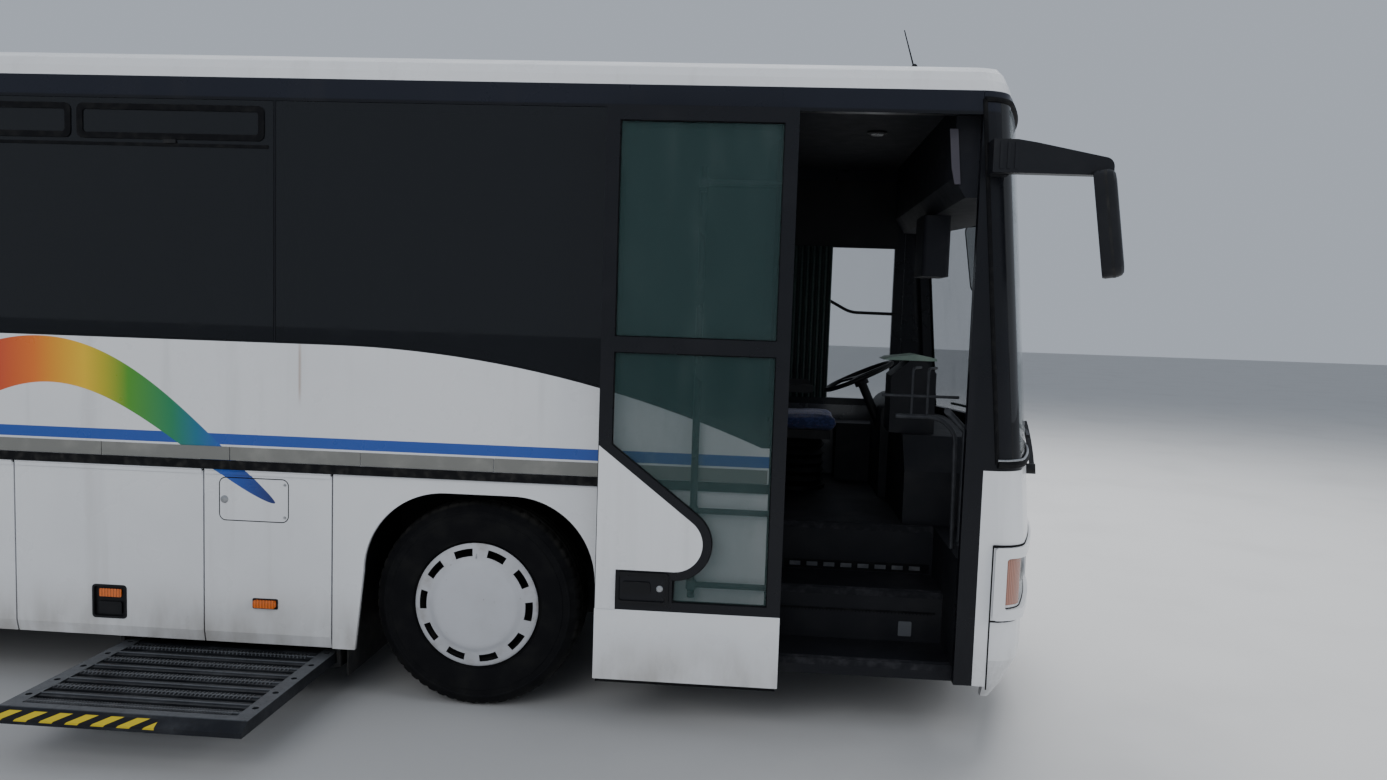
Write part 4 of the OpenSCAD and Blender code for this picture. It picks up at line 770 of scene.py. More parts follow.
def wheelFittings(word, side):
    look = wheelLook
    low, high = nodeBox("rims_rear_" + word)
    face = max(high.y, -low.y) - look["face"]
    shape = Shape()
    for i in range(look["nuts"]):
        a = 2 * pi * i / look["nuts"]
        x, z = bus["rearAxle"] + look["nutRing"] * cos(a), bus["wheelZ"] + look["nutRing"] * sin(a)
        hexagon = [(x + look["nutRadius"] * cos(a + pi * k / 3), z + look["nutRadius"] * sin(a + pi * k / 3))
                   for k in range(6)]
        back = face - look["nutBack"]
        shape.prism(hexagon, side * back, side * (back + look["nutLength"]), "y", 0.0015)
        shape.turned([(r, side * (face - inward)) for r, inward in look["bolt"]], (x, 0, z), "y", 12)
    makePiece("rearNuts" + word.title(), shape, chassisGrey, "rear_wheels_" + word)
    valve = Shape()
    y = side * (bus["frontWheelY"] + look["valveOut"])
    path = [(0.0, y + side * out, bus["wheelZ"] + rise) for out, rise in look["valve"]]
    valve.pipe(path, look["valveRadius"])
    makePiece("valve" + word.title(), valve, brightMetal, "front_wheel_" + word)


for side, word in bothSides:
    wheelFittings(word, side)

# Trim strips above the rub rails, in lengths with narrow joints
stripLook = dict(z=(1.183, 1.247), proud=0.007, length=0.62, joint=0.004)


def trimStrip(name, side, spans):
    shape = Shape()
    for start, end in spans:
        count = round((end - start) / stripLook["length"])
        step = (end - start) / count
        for i in range(count):
            x = inset((start + i * step, start + (i + 1) * step), stripLook["joint"] / 2)
            shape.box(x, outside(side, 0, stripLook["proud"]), stripLook["z"], 0.002)
    makePiece(name, shape, beigeTrim, "vehicle")


railLow, railHigh = nodeBox("rub_rails")
trimStrip("trimRight", -1, [(railLow.x, bus["midDoorRear"]), (bus["midDoorFront"], bus["doorRear"] - 0.004)])
trimStrip("trimLeft", 1, [(railLow.x, railHigh.x)])

# Luggage flaps: handle with its tray and reflector; the filler hatch's lock and screws, with a marker lamp
flapLook = dict(handleHalf=0.083, handleZ=(0.374, 0.53), deep=0.014, paddleOut=(-0.011, -0.002),
                reflectorHalf=0.057, reflectorZ=(0.473, 0.513), reflectorOut=(-0.012, -0.004),
                paddleHalf=0.06, paddleZ=(0.388, 0.45), markerX=(-1.092, -0.966), markerZ=(0.458, 0.508),
                lensX=(-1.086, -0.972), lensZ=(0.464, 0.502),
                screws=((-1.235, 0.99, 0.019), (-0.932, 1.072, 0.007), (-0.932, 0.912, 0.007),
                        (-1.088, 0.49, 0.004)))


def skinPlate(shape, side, x, z, out, radius, bevel=0.0):
    # Rounded plate on a side wall, between two distances outside the skin
    shape.prism(roundedRect(x, z, radius), *outside(side, *out), "y", bevel)


def fillerFittings(shape, side):
    look = flapLook
    skinPlate(shape, side, look["markerX"], look["markerZ"], (-0.002, 0.006), 0.006, 0.001)
    shape.paint = 1
    skinPlate(shape, side, look["lensX"], look["lensZ"], (0.006, 0.018), 0.012, 0.004)
    shape.paint = 2
    for x, z, r in look["screws"]:
        head = [(0, 0.004), (r * 0.8, 0.004), (r, 0.002), (r, -0.004)]
        shape.turned([(radius, side * (bus["halfWidth"] + out)) for radius, out in head], (x, 0, z), "y", 20)


def handleFittings(shape, side, middle):
    look = flapLook
    x, z = around(middle, look["handleHalf"]), look["handleZ"]
    skinPlate(shape, side, inset(x, 0.002), inset(z, 0.002), (-look["deep"], 0.002 - look["deep"]), 0.012)
    lip = roundedRect(inset(x, -0.006), inset(z, -0.006), 0.018)
    inner = roundedRect(inset(x, 0.004), inset(z, 0.004), 0.012)
    shape.ring(lip, inner, *outside(side, -0.012, 0.003), "y", 0.001)
    x = around(middle, look["paddleHalf"])
    skinPlate(shape, side, x, look["paddleZ"], look["paddleOut"], 0.008, 0.002)
    shape.paint = 1
    x = around(middle, look["reflectorHalf"])
    skinPlate(shape, side, x, look["reflectorZ"], look["reflectorOut"], 0.006, 0.002)


for node in nodes:
    if node.startswith("flap_"):
        side = -1 if "right" in node else 1
        low, high = nodeBox(node)
        shape = Shape()
        if node == "flap_right_1":
            fillerFittings(shape, side)
        else:
            handleFittings(shape, side, (low.x + high.x) / 2)
        makePiece("fittings_" + node, shape, [trimPlastic, orangeLens, brightMetal], node)
print("stage: trim and flaps")

# Door leaves: white apron panel with its round nose, handle box, rubber round the panes and along the edges
doorLook = dict(length=0.86, border=0.062, apronNose=(0.365, 0.905), apronRadius=0.13, apronSlope=37.7,
                apronBorder=0.04, apronX=(0.004, 0.096), apronZ=(0.5875, 0.775),
                lockBox=((0.1, 0.345), (0.618, 0.767)), lockSide=0.36,
                lock=[(0, -0.008), (0.012, -0.008), (0.016, -0.005), (0.016, 0.001)],
                lowerPane=(0.63, 1.78), upperPane=(1.85, 2.82), sealOut=0.012,
                edgeOut=0.036, edgeZ=(0.27, 2.87), sweepOut=(0.012, 0.03), sweepZ=(0.235, 0.256))


def apronEdge(radius, rear):
    middle, slope = doorLook["apronNose"], radians(doorLook["apronSlope"])
    top = middle[1] + radius / cos(slope) + (middle[0] - rear) * tan(slope)
    return arc(middle, radius, -90, 90 - doorLook["apronSlope"], 16) + [(rear, top)]


def dressDoor(name, node, body):
    look = doorLook
    rear, skin = nodeBox(node)[0].x, nodeBox(node)[0].y
    (start, end), (low, high) = look["apronX"], look["apronZ"]
    apron = [(start, low), (end, low), (end, high)] + apronEdge(look["apronRadius"], start)
    panel = Shape()
    panel.prism([(rear + u, z) for u, z in apron], skin - 0.005, skin + 0.001, "y", 0.0018)
    makePiece(name + "Apron", panel, shellPaint, body)

    box = Shape()
    x, z = tuple(rear + u for u in look["lockBox"][0]), look["lockBox"][1]
    box.ring(roundedRect(x, z, 0.018), roundedRect(inset(x, 0.014), inset(z, 0.014), 0.012),
             skin - 0.011, skin + 0.001, "y", 0.002)
    grip = roundedRect((x[0] + 0.03, x[0] + 0.16), (z[0] + 0.05, z[1] - 0.045), 0.014)
    box.prism(grip, skin - 0.009, skin + 0.001, "y", 0.003)
    box.paint = 1
    box.turned([(r, skin + out) for r, out in look["lock"]], (x[1] - 0.042, 0, (z[0] + z[1]) / 2), "y", 24)
    makePiece(name + "Handle", box, [trimPlastic, brightMetal], body)

    seals = Shape()
    border, front = look["border"], look["length"] - look["border"]
    low, high = look["lowerPane"]
    lower = [(look["lockSide"], low)] + apronEdge(look["apronRadius"] + look["apronBorder"], border)
    lower += [(border, high), (front, high), (front, low)]
    low, high = look["upperPane"]
    upper = [(border, low), (border, high), (front, high), (front, low)]
    for loop in (lower, upper):
        path = [(rear + u, skin + look["sealOut"], z) for u, z in loop + loop[:2]]
        seals.pipe(bendPath(path, 0.012, 3), 0.005, 8)
    makePiece(name + "Seals", seals, sealRubber, body)

    edge = Shape()
    for x in inset((rear, rear + look["length"]), 0.006):
        edge.pipe([(x, skin + look["edgeOut"], z) for z in look["edgeZ"]], 0.007, 8)
    sweepX, sweepY = inset((rear, rear + look["length"]), 0.01), [skin + out for out in look["sweepOut"]]
    edge.box(sweepX, sweepY, look["sweepZ"], 0.002)
    makePiece(name + "Edges", edge, sealRubber, body)


dressDoor("frontDoor", "door_front_leaf", "front_door_leaf")
dressDoor("midDoor", "door_mid_leaf", "mid_door_leaf")
print("stage: doors")

# The bumper's plan curve: s runs along the skin from the side towards the middle, w stands outside it
nose = dict(big=3.6, bigX=-0.81, corner=0.15, cornerX=2.4514, cornerY=1.125, lean=5.0, leanZ=0.95)
nose["meet"] = atan2(nose["cornerY"], nose["cornerX"] - nose["bigX"])
nose["bend"] = (pi / 2 - nose["meet"]) * nose["corner"]


def noseWrap(side):
    def place(s, z, w):
        r = nose["corner"] + w
        if s < 0:
            return (nose["cornerX"] + s, side * (nose["cornerY"] + r), z)
        if s < nose["bend"]:
            a = pi / 2 - s / nose["corner"]
            return (nose["cornerX"] + r * cos(a), side * (nose["cornerY"] + r * sin(a)), z)
        a = nose["meet"] - (s - nose["bend"]) / nose["big"]
        return (nose["bigX"] + (nose["big"] + w) * cos(a), side * (nose["big"] + w) * sin(a), z)
    return place


def leaningFront(s, z, w, side=1):
    # The same curve on the front above the bumper, which leans back
    x, y, z = noseWrap(side)(s, z, w)
    lean = radians(nose["lean"])
    return (x / cos(lean) - (z - nose["leanZ"]) * tan(lean), y, z)


def dense(outline, step):
    fine = []
    for (u, v), (nextU, nextV) in zip(outline, outline[1:] + outline[:1]):
        count = max(1, int(sqrt((nextU - u) ** 2 + (nextV - v) ** 2) / step))
        fine += [(u + (nextU - u) * i / count, v + (nextV - v) * i / count) for i in range(count)]
    return fine


def wrappedRing(shape, place, s, z, radius, width, w, bevel=0.0):
    outer = dense(roundedRect(s, z, radius, 6), 0.02)
    midS, midZ = (s[0] + s[1]) / 2, (z[0] + z[1]) / 2
    shrinkS, shrinkZ = 1 - 2 * width / (s[1] - s[0]), 1 - 2 * width / (z[1] - z[0])
    inner = [(midS + (u - midS) * shrinkS, midZ + (v - midZ) * shrinkZ) for u, v in outer]
    loops = [(outer, w[0]), (inner, w[0]), (inner, w[1]), (outer, w[1])]
    shape.solid([place(u, v, out) for loop, out in loops for u, v in loop], ringFaces(len(outer)), bevel)


def wrappedPlate(shape, place, s, z, w, steps=24):
    wide = steps + 1
    half = 2 * wide
    row = [s[0] + (s[1] - s[0]) * i / steps for i in range(wide)]
    points = [place(u, v, out) for out in (w[1], w[0]) for v in z for u in row]
    faces = [[i, i + 1, wide + i + 1, wide + i] for i in range(steps)]
    faces += [[half + k for k in reversed(face)] for face in faces]
    rim = list(range(wide)) + list(range(half - 1, wide - 1, -1))
    faces += [[b, a, a + half, b + half] for a, b in zip(rim, rim[1:] + rim[:1])]
    shape.solid(points, faces)


# Headlamps: dark bucket, two bowls, a turn lens round the corner, cover and raised frame; bumper seams
lampLook = dict(s=(0.119, 0.758), z=(0.662, 0.888), bowls=((0.46, 0.078), (0.65, 0.078)), turnS=(0.052, 0.15),
                depth=0.075, bulb=[(0.0, -0.02), (0.012, -0.024), (0.014, -0.05)],
                surround=((-0.004, 0.85), (0.597, 0.938)), groove=((0.04, 0.8), (0.64, 0.9)),
                seamS=(-0.012, 0.95), upperSeam=(0.9375, 0.9475), lowerSeam=(0.583, 0.592),
                sideSeam=((-0.0155, -0.0085), (0.262, 0.945)))
lampGlass = clearGlass("lampGlass", (0.5, 0.52, 0.52), 0.22)


def makeLamp(side, word):
    look, place = lampLook, noseWrap(side)
    s, z, deep = look["s"], look["z"], -look["depth"]
    shape = Shape()
    wrappedPlate(shape, place, inset(s, -0.02), inset(z, -0.02), (deep - 0.01, deep))
    for v in (z[0] - 0.014, z[1] + 0.002):
        wrappedPlate(shape, place, s, (v, v + 0.012), (deep, -0.014))
    shape.paint = 1
    for centre, r in look["bowls"]:
        middle = place(centre, (z[0] + z[1]) / 2, -0.02)
        bowl = [(0.0, -0.05), (0.02, -0.05), (0.03, -0.044), (r * 0.75, -0.02), (r, 0.0), (r + 0.006, 0.002),
                (r + 0.006, -0.006), (r * 0.8, -0.03), (0.0, -0.058)]
        shape.turned(bowl, middle, "x", 40)
        shape.turned(look["bulb"], middle, "x", 20)
    makePiece("headlamp" + word, shape, [trimPlastic, brightMetal], "vehicle", ["front_lamps"])
    turnLamp = Shape()
    wrappedPlate(turnLamp, place, look["turnS"], inset(z, 0.004), (0.001, 0.006))
    makePiece("turnLamp" + word, turnLamp, turnLens, "vehicle")
    cover = Shape()
    wrappedPlate(cover, place, (look["turnS"][1] + 0.012, s[1]), z, (-0.006, -0.002))
    makePiece("lampCover" + word, cover, lampGlass, "vehicle")
    surround = Shape()
    wrappedRing(surround, place, *look["surround"], 0.018, 0.05, (0.0, 0.024), 0.006)
    makePiece("lampSurround" + word, surround, shellPaint, "vehicle")
    seams = Shape()
    wrappedRing(seams, place, *look["groove"], 0.016, 0.012, (0.0005, 0.004))
    wrappedPlate(seams, place, look["seamS"], look["upperSeam"], (0.0003, 0.0125))
    wrappedPlate(seams, place, look["seamS"], look["lowerSeam"], (-0.004, 0.0012))
    wrappedPlate(seams, place, *look["sideSeam"], (0.0003, 0.0012), 1)
    makePiece("bumperSeams" + word, seams, sealRubber, "vehicle")


for side, word in bothSides:
    makeLamp(side, word.title())

# Windscreen: rubber round it and a bright line above its lower edge
screenLook = dict(s=0.008, z=(1.322, 2.962), radii=(0.019, 0.012), sideRadius=0.011, lineZ=1.34,
                  lineRadius=0.006)


def frontPath(z, w, steps=32):
    start, middle = screenLook["s"], nose["bend"] + nose["meet"] * nose["big"]
    half = [leaningFront(start + (middle - start) * i / steps, z, w, -1) for i in range(steps + 1)]
    return half + [(x, -y, v) for x, y, v in reversed(half[:-1])]


screen = Shape()
for z, radius in zip(screenLook["z"], screenLook["radii"]):
    screen.pipe(frontPath(z, 0.002), radius, 8)
low, high = screenLook["z"]
for side in (1, -1):
    path = [leaningFront(screenLook["s"], low + (high - low) * i / 12, -0.002, side) for i in range(13)]
    screen.pipe(path, screenLook["sideRadius"], 8)
screen.paint = 1
screen.pipe(frontPath(screenLook["lineZ"], 0.01), screenLook["lineRadius"], 8)
makePiece("screenSeal", screen, [sealRubber, brightMetal], "vehicle")

# Mirrors: tapering arms with a root and ribs, and heads turned towards the driver
mirrorLook = dict(armY=(1.335, 1.398), rootX=(2.317, 2.4), rootY=(1.2755, 1.336), rootZ=(2.62, 2.77),
                  ribs=3, ribX=2.345, ribPitch=0.032, ribWide=0.014, ribY=(1.396, 1.402), ribZ=(2.64, 2.755),
                  top=(2.8, 1.379, 2.645), height=0.468, tilt=8.3, yaw=19, half=0.1, deep=0.092)
mirrorGlass = Finish("mirrorGlass", (0.55, 0.57, 0.58), 0.03, metallic=1.0)
mirrorGlass.feed("Roughness", mirrorGlass.blend(mirrorGlass.noise(12, 4), 0.02, 0.08))
armOutline = ([(2.317, 2.625), (2.77, 2.622), (2.835, 2.64)] + arc((2.795, 2.66), 0.04, 0, 75, 6)
              + [(2.5, 2.757), (2.42, 2.769), (2.317, 2.769)])


def mirrorArm(shape, side):
    look = mirrorLook
    shape.prism(armOutline, *sorted(side * y for y in look["armY"]), "y", 0.012)
    shape.box(look["rootX"], sorted(side * y for y in look["rootY"]), look["rootZ"], 0.008)
    for k in range(look["ribs"]):
        x = look["ribX"] + look["ribPitch"] * k
        shape.box((x, x + look["ribWide"]), sorted(side * y for y in look["ribY"]), look["ribZ"], 0.0025)


def mirrorHead(shape, side):
    # Drawn hanging from its own top: u and v across the glass, x through the housing
    look = mirrorLook
    x, y, z = look["top"]
    shape.turn = (Matrix.Translation((x, side * y, z)) @ Matrix.Rotation(radians(-look["tilt"]), 4, "Y")
                  @ Matrix.Rotation(side * radians(look["yaw"]), 4, "Z"))
    half, deep, height = look["half"], look["deep"], look["height"]
    outline = roundedRect((-half, half), (-height, 0), 0.045, 8)

    def grow(k):
        tall = 1 - (1 - k) * 2 * half / height
        return [(u * k, (v + height / 2) * tall - height / 2) for u, v in outline]

    rings = [(0.9, 0.006 - deep / 2), (0.96, -deep / 2), (1.0, 0.012 - deep / 2), (1.0, 0.0),
             (0.985, deep * 0.2), (0.93, deep * 0.36), (0.8, deep * 0.47), (0.55, deep / 2)]
    count = len(outline)
    points = [(along, u, v) for k, along in rings for u, v in grow(k)]
    ends = [list(range(count)), list(range(len(points) - 1, len(points) - count - 1, -1))]
    shape.solid(points, ringFaces(count, len(rings), False) + ends)
    shape.paint = 1
    shape.prism(grow(0.885), 0.004 - deep / 2, 0.0075 - deep / 2, "x")
    shape.paint = 2
    shape.ring(grow(1.004), grow(0.955), -0.002, deep * 0.1, "x", 0.001)


for side, word in bothSides:
    shape = Shape()
    mirrorArm(shape, side)
    mirrorHead(shape, side)
    finishes, stands = [mirrorPlastic, mirrorGlass, chassisGrey], ["mirrors"] if side > 0 else []
    makePiece("mirror" + word.title(), shape, finishes, "vehicle", stands)
print("stage: front")

# Entrance: nosings; on the risers a vent row over a black band that paints the shade of its recess, a toothed
# strip and a small blank plate
stepLook = dict(x=(1.4, 2.285), edges=((-1.224, 0.35), (-0.895, 0.605), (-0.525, 0.86)),
                grooves=4, groovePitch=0.008,
                upperRiser=-0.5245, ventX=(1.53, 2.26), vents=8, ventShare=0.64, ventZ=0.635, ventHalf=0.011,
                recessHalf=0.024, middleRiser=-0.8945, teeth=46, toothZ=(0.487, 0.505), toothDrop=0.01,
                plate=((2.076, 2.142), (0.378, 0.453)))
nosingRubber = rubber("nosingRubber", (0.011, 0.0115, 0.014), (0.028, 0.028, 0.032))
plateGrey = plastic("plateGrey", (0.085, 0.09, 0.1), (0.115, 0.12, 0.13), 0.5)


def stepNosings(shape, start, end):
    lip = [(-0.002, -0.03), (-0.004, 0.003), (0.034, 0.003), (0.034, 0), (0, 0), (0, -0.03)]
    ridge = [(0.005, 0.003), (0.007, 0.0048), (0.009, 0.003)]
    for y, z in stepLook["edges"]:
        shape.prism([(y + u, z + v) for u, v in lip], start, end, "x", 0.0008)
        for k in range(stepLook["grooves"]):
            shape.prism([(y + u + stepLook["groovePitch"] * k, z + v) for u, v in ridge], start, end, "x")


def riserFittings(shape, shift, start, end):
    look = stepLook
    back, z = look["upperRiser"], look["ventZ"]
    pitch = (look["ventX"][1] - look["ventX"][0]) / look["vents"]
    for k in range(look["vents"]):
        x = look["ventX"][0] + shift + k * pitch
        ventX = (x, x + pitch * look["ventShare"])
        shape.box(ventX, (back - 0.003, back), around(z, look["ventHalf"]), 0.001)
    # Black band behind the vents, standing in for their recess: painted shade
    shape.paint = 1
    shape.box((start + 0.1, end - 0.01), (back - 0.0015, back), around(z, look["recessHalf"]), 0.0005)
    back, (low, high) = look["middleRiser"], look["toothZ"]
    root = low + look["toothDrop"]
    tooth = (end - start - 0.06) / look["teeth"]
    shape.box((start + 0.02, end - 0.03), (back - 0.0045, back), (root - 0.001, high), 0.0005)
    for k in range(look["teeth"]):
        x = start + 0.025 + k * tooth
        shape.prism([(x, root), (x + tooth * 0.25, low), (x + tooth * 0.5, root)], back - 0.004, back, "y")
    shape.paint = 2
    x, z = look["plate"]
    shape.prism(roundedRect((x[0] + shift, x[1] + shift), z, 0.006), back - 0.0045, back, "y", 0.001)


for name, shift in (("front", 0.0), ("mid", bus["midDoorRear"] - bus["doorRear"])):
    start, end = (x + shift for x in stepLook["x"])
    nosings, vents = Shape(), Shape()
    stepNosings(nosings, start, end)
    makePiece(name + "Nosings", nosings, nosingRubber, "vehicle")
    riserFittings(vents, shift, start, end)
    makePiece(name + "Vents", vents, [brightSteel, sealRubber, plateGrey], "vehicle")

# Front wheels: rim and a bulging cover with slots in its sloping edge
coverLook = dict(slots=10, cells=20, slotCells=11, slotRow=8, phase=22.5, face=1.2405, thick=0.004,
                 profile=[(0.0, 0.0), (0.08, 0.0), (0.15, 0.001), (0.188, 0.0025), (0.203, 0.005),
                          (0.214, 0.0095), (0.223, 0.015), (0.232, 0.0185), (0.2445, 0.021),
                          (0.281, 0.0285), (0.294, 0.031),
                          (0.301, 0.0335), (0.305, 0.038), (0.303, 0.042)])
rimSection = [(0, 0.03), (0.2, 0.03), (0.262, 0.055), (0.272, 0.118), (0.28, 0.128), (0.287, 0.124),
              (0.2865, 0.11), (0.2865, -0.11), (0.287, -0.124), (0.28, -0.128), (0.272, -0.118), (0.25, 0.02),
              (0.2, 0.01), (0, 0.01)]


def slottedCover(shape, side, centreZ):
    look = coverLook
    total, rows = look["slots"] * look["cells"], len(look["profile"])
    points = []
    for depth in (0, look["thick"]):
        for r, back in look["profile"]:
            for k in range(total):
                a = radians(look["phase"]) + 2 * pi * k / total
                points.append((r * cos(a), side * (look["face"] - back - depth), centreZ + r * sin(a)))

    def index(layer, row, k):
        return layer * rows * total + row * total + k % total

    def isSlot(row, k):
        return row == look["slotRow"] and k % look["cells"] < look["slotCells"]

    def wall(row, k):
        # The cover's thickness, shown along a row
        return [index(0, row, k), index(0, row, k + 1), index(1, row, k + 1), index(1, row, k)]

    def end(row, k):
        # The same across the rows, at an end of a slot
        return [index(0, row, k), index(0, row + 1, k), index(1, row + 1, k), index(1, row, k)]

    faces = []
    for row in range(rows - 1):
        for k in range(total):
            if isSlot(row, k):
                faces += [wall(row, k), wall(row + 1, k)]
                sides = ((k, k - 1), (k + 1, k + 1))
                faces += [end(row, at) for at, beside in sides if not isSlot(row, beside)]
            else:
                faces += [[index(layer, row, k), index(layer, row, k + 1), index(layer, row + 1, k + 1),
                           index(layer, row + 1, k)] for layer in (0, 1)]
    faces += [wall(rows - 1, k) for k in range(total)]
    verts = shape.solid(points, faces)
    bmesh.ops.remove_doubles(shape.mesh, verts=verts, dist=1e-6)
    bmesh.ops.dissolve_degenerate(shape.mesh, dist=1e-7, edges=shape.mesh.edges[:])


for side, word in bothSides:
    body = "front_wheel_" + word
    cover, rim = Shape(), Shape()
    slottedCover(cover, side, bus["wheelZ"])
    makePiece("wheelCover" + word.title(), cover, rimPaint, body, ["rim_front_" + word], 40)
    section = [(r, side * (bus["frontWheelY"] + along)) for r, along in rimSection]
    rim.turned(section, (0, 0, bus["wheelZ"]), "y", 96)
    makePiece("frontRim" + word.title(), rim, chassisGrey, body)
print("stage: front wheels")

# Hopper windows: rubber frames round the opening lights, a slim sash edge and a latch each
hopperLook = dict(z=(2.705, 2.868), frame=0.028, out=0.006, post=0.016, end=0.05,
                  latchHalf=0.03, latchZ=(2.688, 2.7045), sashZ=(2.672, 2.687))
paneSpans = dict(right=[(-2.965, -0.985), (bus["midDoorFront"] + 0.01, -2.965),
                        (-7.25, bus["midDoorRear"] - 0.01)],
                 left=[(-2.965, -0.985), (-4.945, -2.965), (-6.925, -4.945)])
for side, word in bothSides:
    look = hopperLook
    frames, latches = Shape(), Shape()
    for rear, front in paneSpans[word]:
        middle = (rear + front) / 2
        for x in ((rear + look["end"], middle - look["post"]), (middle + look["post"], front - look["end"])):
            outer = roundedRect(x, look["z"], 0.03)
            inner = roundedRect(inset(x, look["frame"]), inset(look["z"], look["frame"]), 0.014)
            frames.ring(outer, inner, *outside(side, 0.0003, look["out"]), "y", 0.0015)
            latchX = around((x[0] + x[1]) / 2, look["latchHalf"])
            latches.box(latchX, outside(side, 0.0003, 0.009), look["latchZ"], 0.002)
        frames.box(inset((rear, front), 0.03), outside(side, 0.0003, 0.004), look["sashZ"], 0.001)
    makePiece("hoppers" + word.title(), frames, sealRubber, "vehicle")
    makePiece("hopperLatches" + word.title(), latches, chassisGrey, "vehicle")

# A dark seal in the filler hatch's groove
fillerLook = dict(x=(-1.263, -0.912), z=(0.885, 1.1), deep=0.004, edges=((0.0005, 0.035), (0.0045, 0.031)))
seal = Shape()
outer, inner = (roundedRect(inset(fillerLook["x"], by), inset(fillerLook["z"], by), radius, 8)
                for by, radius in fillerLook["edges"])
seal.ring(outer, inner, *outside(-1, 0, -fillerLook["deep"]), "y")
makePiece("hatchSeal", seal, sealRubber, "flap_right_1")

# Roof: two hatches with their seals and hinges, and the leaning aerial near the right edge
roofLook = dict(hatchX=(-1.7, -6.3), hatchHalf=(0.4, 0.35), coverZ=(3.262, 3.318),
                panelIn=0.06, panelZ=(3.316, 3.324),
                hingeY=(-0.2, 0.2), hingeHalf=0.03, hingeZ=(3.285, 3.32), sealZ=(3.272, 3.2925),
                aerial=((2.05, -0.675, 3.225), (1.991, -0.675, 3.418)), aerialRadii=[0.0045, 0.0035, 0.0028],
                foot=[(0, 0.0), (0.02, 0.0), (0.018, 0.012), (0.009, 0.026), (0, 0.03)])
aerial = Shape()
foot, tip = (Vector(p) for p in roofLook["aerial"])
aerial.pipe([foot, foot.lerp(tip, 0.5), tip], roofLook["aerialRadii"], 10)
aerial.turned(roofLook["foot"], foot, "z", 24)
makePiece("aerial", aerial, trimPlastic, "vehicle")
hatchCovers, hatchSeals = Shape(), Shape()
for middle in roofLook["hatchX"]:
    x, y = around(middle, roofLook["hatchHalf"][0]), around(0, roofLook["hatchHalf"][1])
    panel = roundedRect(inset(x, roofLook["panelIn"]), inset(y, roofLook["panelIn"]), 0.05, 6)
    hatchCovers.prism(roundedRect(x, y, 0.06, 6), *roofLook["coverZ"], "z", 0.014)
    hatchCovers.prism(panel, *roofLook["panelZ"], "z", 0.003)
    for hinge in roofLook["hingeY"]:
        hingeX = (x[0] - 0.012, x[0] + 0.03)
        hatchCovers.box(hingeX, around(hinge, roofLook["hingeHalf"]), roofLook["hingeZ"], 0.003)
    hatchSeals.ring(roundedRect(inset(x, -0.012), inset(y, -0.012), 0.05),
                    roundedRect(inset(x, 0.004), inset(y, 0.004), 0.04), *roofLook["sealZ"], "z", 0.001)
makePiece("roofHatches", hatchCovers, shellPaint, "vehicle", ["roof_fittings"])
makePiece("hatchSeals", hatchSeals, sealRubber, "vehicle")

# Seen through the doorway: top of the fare machine, desk rails, side visor and ceiling lamp; on the driver's
# window a sash bar and a blind
insideLook = dict(
    machineTop=[(2.02, 1.738), (2.02, 1.7395), (2.05, 1.752), (2.2, 1.772), (2.31, 1.752), (2.318, 1.738)],
    machineY=(-0.205, 0.055), posts=(2.075, 2.15), postBend=0.03, railRadius=0.007,
    desk=[(1.93, -0.99, 1.6), (2.3, -0.99, 1.6)], handRadius=0.012,
    hand=[(2.0, -0.99, 1.5), (2.21, -0.99, 1.5), (2.29, -1.0, 1.43), (2.3, -1.0, 0.86)],
    visor=[(2.1715, 2.858), (2.2095, 2.858), (2.232, 2.605), (2.205, 2.605), (2.188, 2.68)],
    visorY=(-1.112, -1.1), lampAt=(1.918, -0.275, 0),
    lampRim=[(0, 2.9805), (0.055, 2.9805), (0.055, 2.974), (0.04, 2.968), (0, 2.966)],
    lens=[(0, 2.9665), (0.036, 2.967), (0.03, 2.962), (0, 2.961)],
    sash=[(1.55, 1.2145, 2.2), (1.93, 1.2145, 2.0), (2.24, 1.2145, 1.997)], sashRadius=0.011,
    blindX=(1.42, 2.235), blindY=(1.2, 1.2145), blindZ=(2.455, 2.9), hemY=(1.19, 1.2165), hemZ=(2.445, 2.463))
inside = Shape()
inside.prism(insideLook["machineTop"], *insideLook["machineY"], "y", 0.004)
makePiece("machineTop", inside, farePlastic, "vehicle")
rails = Shape()
for x in insideLook["posts"]:
    post = [(x, -0.99, 1.5), (x, -0.99, 1.735), (x + 0.05, -0.9, 1.735)]
    rails.pipe(bendPath(post, insideLook["postBend"]), insideLook["railRadius"])
rails.pipe(bendPath(insideLook["desk"], 0.02), insideLook["railRadius"])
rails.pipe(bendPath(insideLook["hand"], 0.05), insideLook["handRadius"])
makePiece("deskRails", rails, tubeGrey, "vehicle")
visor = Shape()
visor.prism(insideLook["visor"], *insideLook["visorY"], "y", 0.003)
visor.paint = 1
visor.turned(insideLook["lampRim"], insideLook["lampAt"], "z", 32)
visor.paint = 2
visor.turned(insideLook["lens"], insideLook["lampAt"], "z", 32)
visorGrey = plastic("visorGrey", (0.085, 0.08, 0.1), (0.12, 0.115, 0.135), 0.5)
makePiece("visorAndLamp", visor, [visorGrey, trimPlastic, whiteLens], "vehicle")
sash = Shape()
sash.pipe(bendPath(insideLook["sash"], 0.05), insideLook["sashRadius"])
sash.box(insideLook["blindX"], insideLook["blindY"], insideLook["blindZ"], 0.004)
sash.box(insideLook["blindX"], insideLook["hemY"], insideLook["hemZ"], 0.004)
makePiece("sashBar", sash, trimPlastic, "vehicle")

# Rear: plan curve of the tail, rubber round the pane, frames and bars on the lamps
tail = dict(big=9.0, bigX=-0.35, corner=0.22, cornerX=-9.0664, cornerY=1.055, meetY=1.0814, paneY=1.012,
            paneZ=(1.888, 2.862), lampY=(0.955, 1.165), lampZ=(0.695, 1.155), bars=(0.795, 0.893, 1.0),
            barHalf=0.004)


